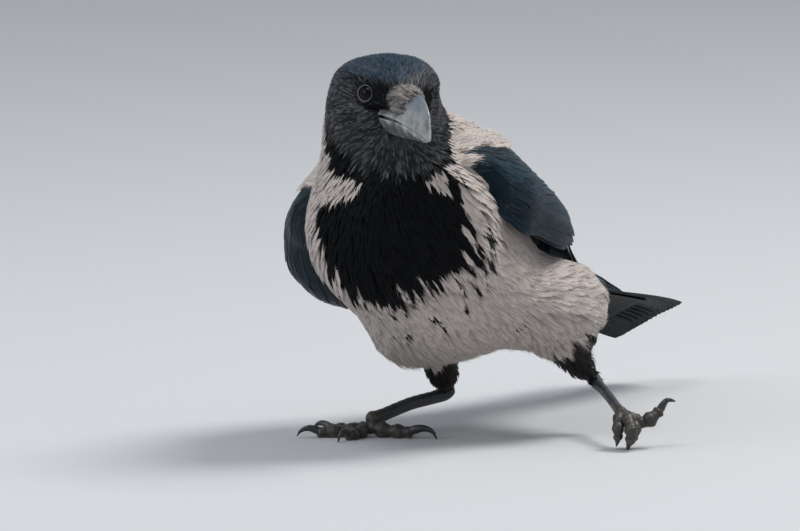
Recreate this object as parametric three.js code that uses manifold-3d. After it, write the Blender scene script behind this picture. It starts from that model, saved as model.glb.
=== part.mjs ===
// Hooded crow (Corvus cornix), life size, in mid step with its head turned to the left.
// Millimetres, +Z up. The bird heads along -Y, so its left side is +X.
// Until the last lines the origin is on the floor under the ball of the right foot.

import * as THREE from "three";
import { mergeVertices } from "three/addons/utils/BufferGeometryUtils.js";
import Module from "manifold-3d";

const wasm = await Module();
wasm.setup();

const radians = THREE.MathUtils.degToRad;
const clamp = THREE.MathUtils.clamp;
const smoothstep = THREE.MathUtils.smoothstep;
const lerp = THREE.MathUtils.lerp;

// ---------------------------------------------------------------- driving dimensions

const gap = 0.3; // clearance between neighbouring pieces

// trunk: the wrists of the folded wings give its origin
const wristHeight = 153.2;
const wristForward = 46;
const wristAside = 35.5;
const backSlope = radians(21); // tail end lower
const trunkRoll = radians(13); // right side lower

// head
const headHeight = 197;
const headForward = 69.5;
const headAside = 45;
const headTurn = radians(44.5); // to the bird's left
const headDip = radians(2.2);
const headTilt = radians(6.5); // left side lower
const eyeRadius = 6.4;
const eyeForward = 14.2;
const eyeAside = 15.2;
const eyeRise = 3.4;
const rimRadius = 6.6;
const rimOut = 6.6; // how far in front of the eye's middle the rim's hollow lies

// bill, along the head's own forward axis
const gapeForward = 21;
const gapeDrop = -6.5;
const billTipForward = 79.8;
const billTipDrop = -12.4;
const billDepth = 19;
const billHalfWidth = 8.4;
const gapeHalfWidth = 11;
const mouthGap = 0.5;

// wings and tail, as distances behind the wrist
const wingStart = -12;
const tertialEnd = 196;
const primaryStart = 120;
const primaryEnd = 322;
const wingThickness = 6.5;
const quillThickness = 3.4;
const tailStart = 118;
const tailEnd = 338;
const tailBaseWidth = 34;
const tailEndWidth = 44;
const tailFeathers = 12;
const tailThickness = 4;
const tailSwing = 12; // how far its end is swung to the left

// legs
const tarsusRadius = 2.9;
const toeRadius = 3.7;
const clawRadius = 2.1;

// ---------------------------------------------------------------- frames and fields

/** A set of axes with an origin, to place points that are given in the bird's own directions. */
class Frame {
  constructor(origin, x, y, z) {
    this.matrix = new THREE.Matrix4().makeBasis(x, y, z).setPosition(origin);
    this.inverse = this.matrix.clone().invert();
  }
  at(x, y, z) {
    return new THREE.Vector3(x, y, z).applyMatrix4(this.matrix);
  }
  local(point) {
    return point.clone().applyMatrix4(this.inverse);
  }
}

function trunkFrame() {
  const rearward = new THREE.Vector3(0, Math.cos(backSlope), -Math.sin(backSlope));
  const leftward = new THREE.Vector3(1, 0, 0).applyAxisAngle(rearward, -trunkRoll);
  const upward = new THREE.Vector3().crossVectors(leftward, rearward);
  const wrists = new THREE.Vector3(wristAside, -wristForward, wristHeight);
  return new Frame(wrists, rearward, leftward, upward.normalize());
}

function headFrame() {
  const turned = new THREE.Vector3(Math.sin(headTurn), -Math.cos(headTurn), 0);
  const forward = turned.multiplyScalar(Math.cos(headDip));
  forward.z = -Math.sin(headDip);
  const leftward = new THREE.Vector3(Math.cos(headTurn), Math.sin(headTurn), 0);
  leftward.applyAxisAngle(forward, -headTilt);
  const upward = new THREE.Vector3().crossVectors(forward, leftward);
  const centre = new THREE.Vector3(headAside, -headForward, headHeight);
  return new Frame(centre, forward, leftward, upward);
}

const trunk = trunkFrame();
const head = headFrame();

/** Rough signed distance from a point to the skin of an egg-shaped mass. */
function massDistance({ frame, centre, radii }, point) {
  const scaled = frame.local(point).sub(centre).divide(radii);
  const size = scaled.length();
  if (size < 1e-6) return -Math.min(radii.x, radii.y, radii.z);
  return (size * (size - 1)) / scaled.divide(radii).length();
}

function mass(frame, centre, radii) {
  return { frame, centre: new THREE.Vector3(...centre), radii: new THREE.Vector3(...radii) };
}

const floorAxes = new Frame(
  new THREE.Vector3(),
  new THREE.Vector3(1, 0, 0),
  new THREE.Vector3(0, 1, 0),
  new THREE.Vector3(0, 0, 1),
);

// rearward, leftward, upward in the trunk; forward, leftward, upward in the head
const bodyMasses = [
  mass(trunk, [16, 0, -28], [56, 54, 54]), // breast
  mass(trunk, [64, 0, -38], [62, 52, 50]), // belly
  mass(trunk, [42, 0, 14.5], [56, 46, 28.5]), // mantle
  mass(trunk, [126, 0, -30], [54, 35, 26]), // rump and vent
  mass(trunk, [176, 1, -25], [36, 20, 10]), // coverts under the tail
  mass(trunk, [178, 2, -13], [40, 18, 8]), // coverts over the tail
  mass(floorAxes, [21, 6, 75], [24, 32, 36]), // right thigh
  mass(floorAxes, [92, 48, 73], [29, 39, 28]), // left thigh
  mass(trunk, [-8, 3, 14], [28, 30, 32]), // base of the neck
  mass(head, [-14, 0, -26], [22, 23, 28]), // neck and throat
  mass(head, [-10, 0, -4], [27, 25, 18]), // skull
  mass(head, [-9, 0, 6.5], [23, 22, 10.5]), // crown
  mass(head, [8, 0, 10.5], [18, 18.5, 10.5]), // brows
  mass(head, [0, 0, -12], [20, 20, 14]), // cheeks and chin
  mass(head, [27, 0, 3], [21, 9, 7]), // forehead and nasal bristles
];
const blend = 6; // how softly the masses run into each other

/** Signed distance to the feathered outline of head, neck and trunk. */
function bodyField(point) {
  let sum = 0;
  for (const each of bodyMasses) {
    sum += Math.exp(-massDistance(each, point) / blend);
  }
  return -blend * Math.log(sum);
}

/** Distance from an inner point to the outline, in one direction. */
function reachOutline(from, direction, offset) {
  const step = 4;
  const farthest = 160;
  const halvings = 12;
  const probe = new THREE.Vector3();
  const depth = (distance) => bodyField(probe.copy(from).addScaledVector(direction, distance)) - offset;
  let near = 0;
  let far = step;
  while (depth(far) < 0 && far < farthest) {
    near = far;
    far += step;
  }
  for (let i = 0; i < halvings; i += 1) {
    const middle = (near + far) / 2;
    if (depth(middle) < 0) near = middle;
    else far = middle;
  }
  return near;
}

// ---------------------------------------------------------------- closed meshes

/** Warps a sphere: place(t, angle) runs from pole to pole as t goes from 0 to 1. */
function warpedSphere(around, along, place) {
  const geometry = new THREE.SphereGeometry(1, around, along);
  const position = geometry.attributes.position;
  for (let row = 0; row <= along; row += 1) {
    for (let column = 0; column <= around; column += 1) {
      const angle = ((column % around) / around) * 2 * Math.PI;
      const point = place(row / along, angle);
      position.setXYZ(row * (around + 1) + column, point.x, point.y, point.z);
    }
  }
  return geometry;
}

/** Warps a box of many cells: place(u, v, side) takes u and v from 0 to 1 and side 0 or 1. */
function warpedSheet(cellsU, cellsV, place) {
  const geometry = new THREE.BoxGeometry(1, 1, 1, cellsU, cellsV, 1);
  const position = geometry.attributes.position;
  for (let i = 0; i < position.count; i += 1) {
    const u = position.getX(i) + 0.5;
    const v = position.getY(i) + 0.5;
    const point = place(u, v, position.getZ(i) + 0.5);
    position.setXYZ(i, point.x, point.y, point.z);
  }
  return geometry;
}

function solid(geometry) {
  geometry.deleteAttribute("normal");
  geometry.deleteAttribute("uv");
  const merged = mergeVertices(geometry, 1e-4);
  const triangles = [];
  const index = merged.index.array;
  for (let i = 0; i < index.length; i += 3) {
    const [a, b, c] = [index[i], index[i + 1], index[i + 2]];
    if (a !== b && b !== c && c !== a) triangles.push(a, b, c);
  }
  const vertProperties = new Float32Array(merged.attributes.position.array);
  const triVerts = new Uint32Array(triangles);
  const shape = new wasm.Manifold(new wasm.Mesh({ numProp: 3, vertProperties, triVerts }));
  if (shape.volume() >= 0) return shape;
  for (let i = 0; i < triVerts.length; i += 3) {
    [triVerts[i], triVerts[i + 1]] = [triVerts[i + 1], triVerts[i]];
  }
  return new wasm.Manifold(new wasm.Mesh({ numProp: 3, vertProperties, triVerts }));
}

/** The largest single body of a solid, without the crumbs that a cut may leave. */
function largest(shape) {
  return shape.decompose().sort((a, b) => b.volume() - a.volume())[0];
}

function geometryOf(shape) {
  const mesh = shape.getMesh();
  const geometry = new THREE.BufferGeometry();
  geometry.setAttribute("position", new THREE.BufferAttribute(new Float32Array(mesh.vertProperties), 3));
  geometry.setIndex(new THREE.BufferAttribute(new Uint32Array(mesh.triVerts), 1));
  geometry.computeVertexNormals();
  return geometry;
}

// ---------------------------------------------------------------- head, neck and trunk

const spineEnds = { rump: trunk.at(236, 0, -17), crown: head.at(-6, 0, 34) };
const spine = new THREE.CatmullRomCurve3(
  [
    spineEnds.rump,
    trunk.at(184, 0, -24),
    trunk.at(120, 0, -30),
    trunk.at(62, 0, -36),
    trunk.at(8, 0, -18),
    head.at(-14, 0, -34),
    head.at(-4, 0, 0),
    spineEnds.crown,
  ],
  false,
  "centripetal",
);
// the rings lie in planes that fan out from a level line above the back
const fanLine = new THREE.Vector3(0, 108, 254);

/** The whole feathered body, grown by an offset. */
function bodyGeometry(offset) {
  const around = 26;
  const along = 35;
  const search = 0.0005;
  const crowding = 0.045; // draws the rings a little towards both ends
  const inside = (t) => bodyField(spine.getPoint(t)) < offset;
  const edge = (t, step) => {
    let at = t;
    while (!inside(at)) at += step;
    return at;
  };
  const first = edge(0, search);
  const last = edge(1, -search);
  return warpedSphere(around, along, (row, angle) => {
    const eased = row - Math.sin(2 * Math.PI * row) * crowding;
    const t = lerp(first, last, eased);
    const centre = spine.getPoint(t);
    if (row === 0 || row === 1) return centre;
    const outward = centre.clone().sub(fanLine).setX(0).normalize();
    const direction = new THREE.Vector3(Math.cos(angle), 0, 0).addScaledVector(outward, Math.sin(angle));
    return centre.addScaledVector(direction, reachOutline(centre, direction, offset));
  });
}

/** A thin slab across the body, in the plane of the fan that holds the given point. */
function fanSlab(point) {
  const outward = point.clone().sub(fanLine).setX(0).normalize();
  const sideways = new THREE.Vector3(1, 0, 0);
  const across = new THREE.Vector3().crossVectors(sideways, outward);
  const slab = { width: 260, height: 200, reach: 160 };
  const geometry = new THREE.BoxGeometry(slab.width, slab.height, gap);
  const middle = fanLine.clone().addScaledVector(outward, slab.reach).setX(point.x);
  geometry.applyMatrix4(new THREE.Matrix4().makeBasis(sideways, outward, across).setPosition(middle));
  return solid(geometry);
}

// ---------------------------------------------------------------- limbs

/** A round limb along a curve through the points; radius takes the share of its length. */
function limb(points, radius, around, along, grow = 0) {
  const curve = new THREE.CatmullRomCurve3(points, false, "centripetal");
  const frames = curve.computeFrenetFrames(along, false);
  return warpedSphere(around, along, (t, angle) => {
    const row = Math.round(t * along);
    const centre = curve.getPointAt(t);
    centre.addScaledVector(frames.tangents[row], (2 * t - 1) * grow);
    if (row === 0 || row === along) return centre;
    const size = radius(t) + grow;
    centre.addScaledVector(frames.normals[row], Math.cos(angle) * size);
    return centre.addScaledVector(frames.binormals[row], Math.sin(angle) * size);
  });
}

/** Rounds off both ends of a limb over the given share of its length. */
function roundEnds(t, share) {
  const fromEnd = Math.min(t, 1 - t) / share;
  return fromEnd >= 1 ? 1 : Math.sqrt(1 - (1 - fromEnd) ** 2);
}

// ---------------------------------------------------------------- wings and tail

/** Reads a value off a list of [position, value] pairs, running smoothly between them. */
function profile(pairs, at) {
  const last = pairs.length - 1;
  if (at <= pairs[0][0]) return pairs[0][1];
  if (at >= pairs[last][0]) return pairs[last][1];
  const next = pairs.findIndex(([position]) => position > at);
  const [from, before] = pairs[next - 1];
  const [to, after] = pairs[next];
  return lerp(before, after, smoothstep(at, from, to));
}

// the closed wings round the trunk as half an egg: middle, half width and height over the length
const wingMiddle = [[-20, -18], [90, -20], [150, -18], [173, -15], [217, -9], [262, -1], [325, 8]];
const wingHalfWidth = {
  left: [[-20, 46], [40, 65], [95, 65], [150, 50], [200, 34], [260, 21], [325, 13]],
  right: [[-20, 46], [0, 60], [40, 82], [90, 79], [150, 50], [200, 33], [260, 21], [325, 13]],
};
const wingRise = [[-20, 30], [40, 50], [95, 44], [150, 28], [200, 15], [260, 9], [325, 5]];
const tailTwist = radians(20); // left side of the tail end up
const twistStart = 150;
const tailDrop = [-18, 0.5]; // middle of the tail at its two ends

function tailMiddle(rearward) {
  return lerp(tailDrop[0], tailDrop[1], (rearward - tailStart) / (tailEnd - tailStart));
}

/** A place on the trunk's axes, turned with the twisted tail behind the rump. */
function rearPoint(rearward, leftward, upward) {
  const twist = tailTwist * smoothstep(rearward, twistStart, tailEnd);
  const middle = tailMiddle(rearward);
  const rise = upward - middle;
  const turnedLeft = leftward * Math.cos(twist) - rise * Math.sin(twist);
  const turnedUp = leftward * Math.sin(twist) + rise * Math.cos(twist);
  return trunk.at(rearward, turnedLeft, middle + turnedUp);
}

/** Distance from the wings' middle line to their inner side, over the trunk and behind it. */
function wingReach(side, rearward, angle) {
  const width = profile(side > 0 ? wingHalfWidth.left : wingHalfWidth.right, rearward);
  const rise = profile(wingRise, rearward);
  const envelope = 1 / Math.hypot(Math.cos(angle) / width, Math.sin(angle) / rise);
  const centre = trunk.at(rearward, 0, profile(wingMiddle, rearward));
  if (bodyField(centre) > 0) return envelope;
  const rim = trunk.at(rearward, side * Math.cos(angle), profile(wingMiddle, rearward) + Math.sin(angle));
  const body = reachOutline(centre, rim.sub(centre).normalize(), 0);
  const soft = 4;
  return soft * Math.log(Math.exp(envelope / soft) + Math.exp(body / soft)) - soft * Math.log(2);
}

/** Rounded feather tips along an edge that runs from 0 to 1. */
function scallops(u, count, depth) {
  const across = u * count - Math.floor(Math.min(u * count, count - 1e-6));
  return depth * (1 - (2 * across - 1) ** 2);
}

/** A curved plate of feathers on one side (1 left, -1 right), between two angles round the trunk. */
function featherPlate(side, plate, grow) {
  return warpedSheet(plate.cells[0], plate.cells[1], (u, v, face) => {
    const end = profile(plate.ends, u) + scallops(u, plate.tips, plate.tipDepth);
    const station = lerp(plate.start, end, v);
    const low = profile(side > 0 ? plate.low : plate.lowRight, station);
    const high = profile(plate.high, station);
    const reach = wingReach(side, station, radians(lerp(low, high, u))) + plate.lift;
    const swell = 0.35 + 0.65 * Math.sin(Math.PI * clamp(u, 0.12, 0.88));
    const thickness = profile(plate.thickness, v) * swell;
    const out = face === 0 ? reach - plate.depth - grow : reach + thickness + grow;
    // growth along the plate and round the trunk moves only the rims
    const rearward = station + grow * endSign(v);
    const angle = radians(lerp(low, high, u)) + (grow / reach) * endSign(u);
    const middle = profile(wingMiddle, station);
    return rearPoint(rearward, side * out * Math.cos(angle), middle + out * Math.sin(angle));
  });
}

function endSign(share) {
  if (share < 1e-6) return -1;
  return share > 1 - 1e-6 ? 1 : 0;
}

const coverts = {
  cells: [12, 9],
  start: wingStart,
  ends: [[0, 96], [0.35, 138], [0.8, tertialEnd], [1, tertialEnd - 12]],
  tips: 6,
  tipDepth: 5,
  low: [[-12, 18], [30, -8], [110, -8], [200, -2]],
  lowRight: [[-12, 14], [15, -12], [50, -41], [95, -36], [150, -12], [200, -2]],
  high: [[-12, 34], [30, 40], [80, 58], [150, 80], [200, 84]],
  thickness: [[0, 1.5], [0.12, wingThickness], [0.7, wingThickness - 1.5], [1, 2]],
  lift: 0,
  depth: 3,
};

const primaries = {
  cells: [14, 3],
  start: primaryStart,
  ends: [[0, 286], [0.25, primaryEnd - 4], [0.5, 296], [1, 226]],
  tips: 7,
  tipDepth: 5,
  low: [[110, -9], [200, 0], [325, 6]],
  lowRight: [[110, -12], [200, 0], [325, 6]],
  high: [[110, 60], [200, 76], [325, 78]],
  thickness: [[0, 0.5], [1, 0.5]],
  lift: -1.2,
  depth: quillThickness,
};

/** The closed tail: a shallow roof of feathers with a rounded end. */
function tailGeometry() {
  return warpedSheet(tailFeathers * 2, 3, (u, v, face) => {
    const across = 2 * u - 1;
    const end = tailEnd - 17 * across ** 2 + scallops(u, tailFeathers, 3.5) - 3.5;
    const rearward = lerp(tailStart, end, v);
    const width = lerp(tailBaseWidth, tailEndWidth, smoothstep(v, 0, 1));
    const roof = -3.5 * across ** 2;
    const thickness = tailThickness * (1 - 0.6 * across ** 2) * lerp(1.2, 0.6, v);
    const rise = tailMiddle(rearward) + roof + (face - 0.5) * thickness;
    const swing = tailSwing * smoothstep(v, 0, 1);
    return rearPoint(rearward, swing + (across * width) / 2, rise);
  });
}

// ---------------------------------------------------------------- bill and eyes

const lowerTip = 0.965; // the lower half ends short of the hooked tip

function mouthLine(s) {
  return gapeDrop + (billTipDrop - gapeDrop) * s ** 3;
}

function culmen(s) {
  const top = gapeDrop + billDepth * 0.9;
  return billTipDrop + (top - billTipDrop) * Math.max(0, 1 - s ** 4) ** 0.58;
}

function billWidth(s) {
  const flare = (gapeHalfWidth - billHalfWidth) * Math.max(0, 1 - s / 0.28) ** 2;
  return billHalfWidth * Math.max(0, 1 - s ** 2.3) ** 0.8 + flare;
}

function billPoint(s, aside, rise) {
  return head.at(lerp(gapeForward, billTipForward, s), aside, rise);
}

function upperBill() {
  return warpedSphere(12, 10, (t, angle) => {
    const s = t === 1 ? 1 : t ** 0.8 * 0.99;
    const floor = mouthLine(s);
    if (t === 0 || t === 1) return billPoint(s, 0, t === 0 ? 0 : billTipDrop);
    const aside = billWidth(s) * Math.cos(angle);
    const arch = Math.sin(angle) <= 0 ? 0 : 1 - Math.abs(Math.cos(angle)) ** 1.8;
    return billPoint(s, aside, floor + (culmen(s) - floor) * arch);
  });
}

function lowerBill() {
  return warpedSphere(12, 8, (t, angle) => {
    const s = t * lowerTip;
    const roof = mouthLine(s) - mouthGap;
    const deep = (billDepth - 11) * Math.max(0, 1 - (s / lowerTip) ** 2.4) ** 0.7;
    if (t === 0 || t === 1) return billPoint(s, 0, roof - (t === 0 ? deep / 2 : 0));
    const aside = 0.93 * billWidth(s / lowerTip) * Math.cos(angle);
    const arch = Math.sin(angle) >= 0 ? 0 : 1 - Math.abs(Math.cos(angle)) ** 2.4;
    return billPoint(s, aside, roof - deep * arch);
  });
}

/** The hollow that the eye sits in, with an open rim for the lids. */
function rimGeometry(side) {
  const geometry = new THREE.SphereGeometry(rimRadius, 10, 8);
  const lean = radians(62);
  const ahead = eyeForward + rimOut * Math.cos(lean);
  const centre = head.at(ahead, side * (eyeAside + rimOut * Math.sin(lean)), eyeRise);
  return geometry.translate(centre.x, centre.y, centre.z);
}

function eyeGeometry(side, grow) {
  const geometry = new THREE.SphereGeometry(eyeRadius + grow, 12, 8);
  const centre = head.at(eyeForward, side * eyeAside, eyeRise);
  return geometry.translate(centre.x, centre.y, centre.z);
}

// ---------------------------------------------------------------- legs and feet

const legs = {
  right: {
    knee: new THREE.Vector3(34.5, 0, 83),
    heel: new THREE.Vector3(18, 57, 20),
    ball: new THREE.Vector3(-2, -1, 8.5),
    shin: [13, 10.5, 6],
  },
  left: {
    knee: new THREE.Vector3(82.5, 11, 91),
    heel: new THREE.Vector3(106, 66, 29.5),
    ball: new THREE.Vector3(143.7, 21.6, 18),
    shin: [12.5, 10, 5.6],
  },
};

// right toes lie flat: heading from straight ahead round to the right, reach to the nail, and nail
const rightToes = [
  { name: "inner", heading: 8, reach: 20, nail: 9, tipRise: -0.5, thick: 0.95 },
  { name: "middle", heading: 54, reach: 29, nail: 11, tipRise: 1, thick: 1 },
  { name: "outer", heading: 97, reach: 27, nail: 10, tipRise: 1, thick: 0.92 },
  { name: "back", heading: 260, reach: 26, nail: 14, tipRise: -0.3, thick: 1.12 },
];

// left toes hang in a bunch: each is a row of steps from the ball, as ahead, aside and up
const leftToes = [
  {
    name: "inner",
    thick: 0.95,
    steps: [[8, 7, -2], [11, 8, -8], [7, 6, -12]],
    nail: [[3, 5, -14.5], [1, 5, -17]],
  },
  {
    name: "middle",
    thick: 1,
    steps: [[11, 1, -3], [15, 1, -9], [12, 1, -13]],
    nail: [[8, 1, -16.5], [6.5, 1, -19]],
  },
  {
    name: "outer",
    thick: 0.92,
    steps: [[8, -6, -2], [10, -7, -8], [7, -6, -12]],
    nail: [[3, -5, -14.5], [1, -5, -17]],
  },
  {
    name: "back",
    thick: 1.1,
    steps: [[3, 10, -4], [4, 16, -1], [3, 21, 3]],
    nail: [[3, 24.5, 8], [3, 29.5, 7.4]],
  },
];

/** Swellings of the pads under a toe, as a factor on its radius. */
function pads(t, count) {
  return 1 + 0.1 * Math.cos(2 * Math.PI * count * t) - 0.22 * t;
}

function toeGeometry(points, thick, grow) {
  const radius = (t) => toeRadius * thick * pads(t, 3) * roundEnds(t, 0.12);
  return limb(points, radius, 8, 8, grow);
}

function nailGeometry(points, thick) {
  const taper = (t) => Math.min(1, 1.15 * (1 - t) ** 0.75 + 0.05) * roundEnds(t, 0.02);
  return limb(points, (t) => clawRadius * thick * taper(t), 7, 5);
}

function rightToePoints(toe) {
  const heading = radians(toe.heading);
  const ahead = new THREE.Vector3(-Math.sin(heading), -Math.cos(heading), 0);
  const ball = legs.right.ball;
  const low = toeRadius * toe.thick * 0.78 - 0.3;
  const at = (reach, rise) => ball.clone().addScaledVector(ahead, reach).setZ(rise);
  return {
    flesh: [
      at(0, low + 2.6),
      at(toe.reach * 0.4, low + 0.5),
      at(toe.reach * 0.75, low + 0.15),
      at(toe.reach, low),
    ],
    nail: [
      at(toe.reach - 2, low + 0.6),
      at(toe.reach + toe.nail * 0.4, low + 2.2),
      at(toe.reach + toe.nail * 0.8, low + 0.9),
      at(toe.reach + toe.nail, toe.tipRise),
    ],
  };
}

function leftToePoints(toe) {
  const { ball, heel } = legs.left;
  const ahead = ball.clone().sub(heel).setZ(0).normalize();
  const aside = new THREE.Vector3(-ahead.y, ahead.x, 0);
  const at = ([forward, across, rise]) => {
    const point = ball.clone().addScaledVector(ahead, forward).addScaledVector(aside, across);
    return point.setZ(ball.z + rise);
  };
  const flesh = [ball.clone(), ...toe.steps.map(at)];
  const last = flesh[flesh.length - 1];
  const before = flesh[flesh.length - 2];
  return { flesh, nail: [last.clone().lerp(before, 0.25), ...toe.nail.map(at)] };
}

function tarsusGeometry(leg, grow) {
  const middle = leg.heel.clone().lerp(leg.ball, 0.5).add(new THREE.Vector3(0, 0, 0.8));
  const radius = (t) => {
    const knobs = 1.9 * Math.exp(-((t / 0.1) ** 2)) + 1.7 * Math.exp(-(((1 - t) / 0.1) ** 2));
    return (tarsusRadius + knobs) * roundEnds(t, 0.06);
  };
  return limb([leg.heel, middle, leg.ball], radius, 10, 9, grow);
}

function shinGeometry(leg, grow) {
  const middle = leg.knee.clone().lerp(leg.heel, 0.55).add(new THREE.Vector3(0, 0, -3));
  const end = leg.heel.clone().lerp(leg.knee, 0.03);
  const [top, calf, ankle] = leg.shin;
  const size = (t) => (t < 0.5 ? lerp(top, calf, t * 2) : lerp(calf, ankle, t * 2 - 1));
  const radius = (t) => size(t) * roundEnds(t, 0.08);
  return limb([leg.knee, middle, end], radius, 12, 8, grow);
}

// ---------------------------------------------------------------- assembly

const colours = {
  black: { color: 0x17191e, roughness: 0.5, metalness: 0 },
  grey: { color: 0xb9aea8, roughness: 0.8, metalness: 0 },
  wing: { color: 0x1c2530, roughness: 0.4, metalness: 0 },
  bill: { color: 0x5c6670, roughness: 0.3, metalness: 0 },
  leg: { color: 0x35322f, roughness: 0.6, metalness: 0 },
  claw: { color: 0x23262c, roughness: 0.35, metalness: 0 },
  eye: { color: 0x0c0a0a, roughness: 0.05, metalness: 0 },
};

const group = new THREE.Group();
const body = solid(bodyGeometry(0));
const grownBody = solid(bodyGeometry(gap));

function addPiece(name, shape, colour) {
  const mesh = new THREE.Mesh(geometryOf(shape), new THREE.MeshStandardMaterial(colours[colour]));
  mesh.name = name;
  group.add(mesh);
}

/** Parts the body into head, neck and trunk, and sinks the eyes. */
function addBody() {
  const throat = head.at(-10, 0, -24);
  const shoulders = trunk.at(0, 0, 2);
  const top = (shape) => shape.boundingBox().max[2];
  const lengths = body.subtract(fanSlab(throat)).subtract(fanSlab(shoulders)).decompose();
  lengths.sort((a, b) => top(b) - top(a));
  let skull = lengths[0];
  for (const side of [1, -1]) {
    skull = skull.subtract(solid(eyeGeometry(side, gap))).subtract(solid(rimGeometry(side)));
  }
  addPiece("head", skull, "black");
  addPiece("neck", lengths[1], "black");
  addPiece("trunk", lengths[2], "grey");
}

function addWing(side, sign) {
  const wing = solid(featherPlate(sign, coverts, 0)).subtract(grownBody);
  const grownWing = solid(featherPlate(sign, coverts, gap));
  const quills = solid(featherPlate(sign, primaries, 0)).subtract(grownBody).subtract(grownWing);
  addPiece(`wing_${side}`, largest(wing), "wing");
  addPiece(`primaries_${side}`, largest(quills), "wing");
}

function addLeg(side, toes, toePoints) {
  const leg = legs[side];
  const shin = solid(shinGeometry(leg, 0)).subtract(grownBody);
  const tarsus = solid(tarsusGeometry(leg, 0)).subtract(solid(shinGeometry(leg, gap)));
  addPiece(`thigh_${side}`, largest(shin), "black");
  addPiece(`tarsus_${side}`, largest(tarsus), "leg");
  const floor = { side: 600, depth: 20 };
  const slab = new THREE.BoxGeometry(floor.side, floor.side, floor.depth);
  const floorBlock = solid(slab.translate(0, 0, -floor.depth / 2));
  let taken = solid(tarsusGeometry(leg, gap)).add(floorBlock);
  for (const toe of toes) {
    const points = toePoints(toe);
    const flesh = solid(toeGeometry(points.flesh, toe.thick, 0)).subtract(taken);
    const grownToe = solid(toeGeometry(points.flesh, toe.thick, gap));
    const nail = solid(nailGeometry(points.nail, toe.thick)).subtract(grownToe).subtract(floorBlock);
    addPiece(`toe_${toe.name}_${side}`, largest(flesh), "leg");
    addPiece(`claw_${toe.name}_${side}`, largest(nail), "claw");
    taken = taken.add(grownToe);
  }
}

addBody();
for (const [side, sign] of [["left", 1], ["right", -1]]) {
  addWing(side, sign);
  addPiece(`eye_${side}`, solid(eyeGeometry(sign, 0)), "eye");
}
addPiece("tail", largest(solid(tailGeometry()).subtract(grownBody)), "black");
addPiece("bill_upper", largest(solid(upperBill()).subtract(grownBody)), "bill");
addPiece("bill_lower", largest(solid(lowerBill()).subtract(grownBody)), "bill");
addLeg("right", rightToes, rightToePoints);
addLeg("left", leftToes, leftToePoints);

// the origin moves to the middle of the bird's box, on the floor
const box = new THREE.Box3().setFromObject(group);
const middle = box.getCenter(new THREE.Vector3());
group.position.set(-middle.x, -middle.y, -box.min.z);

export default group;
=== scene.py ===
# Hooded crow, life size: skin, plumage, bill, eyes and legs over the fixed frame.
# Metres, +Z up. The bird heads along -Y, and its left side is +X.

import math

import bpy
import numpy as np
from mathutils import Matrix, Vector
from mathutils.bvhtree import BVHTree
from mathutils.kdtree import KDTree


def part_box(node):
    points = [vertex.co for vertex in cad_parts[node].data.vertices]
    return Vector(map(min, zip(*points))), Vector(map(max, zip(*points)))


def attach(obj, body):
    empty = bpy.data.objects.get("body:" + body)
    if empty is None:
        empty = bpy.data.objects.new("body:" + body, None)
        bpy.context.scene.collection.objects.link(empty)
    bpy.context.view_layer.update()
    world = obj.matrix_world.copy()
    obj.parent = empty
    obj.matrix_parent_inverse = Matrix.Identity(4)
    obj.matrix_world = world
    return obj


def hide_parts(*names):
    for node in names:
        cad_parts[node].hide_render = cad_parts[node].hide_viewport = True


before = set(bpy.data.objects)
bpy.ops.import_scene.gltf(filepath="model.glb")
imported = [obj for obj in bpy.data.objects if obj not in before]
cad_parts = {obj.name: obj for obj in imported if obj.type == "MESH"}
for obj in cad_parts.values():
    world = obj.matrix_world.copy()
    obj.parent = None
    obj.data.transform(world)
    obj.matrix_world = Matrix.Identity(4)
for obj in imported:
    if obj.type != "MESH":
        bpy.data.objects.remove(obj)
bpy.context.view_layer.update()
rng = np.random.default_rng(12)
mm = 0.001


# small maths, used all through

def unit(vectors):
    return vectors / np.maximum(np.linalg.norm(vectors, axis=-1, keepdims=True), 1e-12)


def dot(a, b):
    return (a * b).sum(axis=-1, keepdims=True)


def tangential(vectors, normals):
    return unit(vectors - normals * dot(vectors, normals))


# normals of one or more grids of points, on the side that the outward vectors show
def gridNormals(grid, outward):
    normals = unit(np.cross(np.gradient(grid, axis=-3), np.gradient(grid, axis=-2)))
    return normals * np.sign(dot(normals, outward))


def stacked(*parts):
    return np.stack(np.broadcast_arrays(*parts), axis=-1)


def turned(vector, axis, degrees):
    angle = math.radians(degrees)
    return (vector * math.cos(angle) + np.cross(axis, vector) * math.sin(angle)
            + axis * np.dot(axis, vector) * (1 - math.cos(angle)))


def ease(x, low, high):
    t = np.clip((np.asarray(x, float) - low) / (high - low), 0, 1)
    return t * t * (3 - 2 * t)


def mix(a, b, t):
    return a + (b - a) * t


# a value read off [place, value] pairs, running smoothly between them
def profile(pairs, at):
    places, values = np.array(pairs, float).T
    i = np.clip(np.searchsorted(places, at, side="right") - 1, 0, len(places) - 2)
    return mix(values[i], values[i + 1], ease((at - places[i]) / (places[i + 1] - places[i]), 0, 1))


# a value read off [place, value] pairs on straight lines
def ramp(pairs, at):
    places, values = np.array(pairs, float).T
    return np.interp(at, places, values)


# smooth unevenness over space, roughly -1 to 1, with lumps of the given size
def lumps(points, size, seed):
    own = np.random.default_rng(seed)
    waves = own.normal(size=(9, 3)) / size
    shifts = own.uniform(0, 2 * math.pi, 9)
    return np.sin(points @ waves.T + shifts).sum(axis=1) / 3.5


# axes of the head and the trunk, found from the eyes
pose = {  # degrees and metres
    "headTurn": 44.5,
    "headDip": 2.2,
    "headTilt": -6.5,
    "backSlope": 21,
    "trunkRoll": 13,
    "eyes": (0.0142, 0.0152, 0.0034),  # forward, aside and up from the middle of the head
    "wrists": (-0.0095, 0.0235, -0.0438),  # from the middle of the head
    "sole": (-0.045, 0.0695, -0.197),  # under the right foot's ball, from the middle of the head
}


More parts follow.
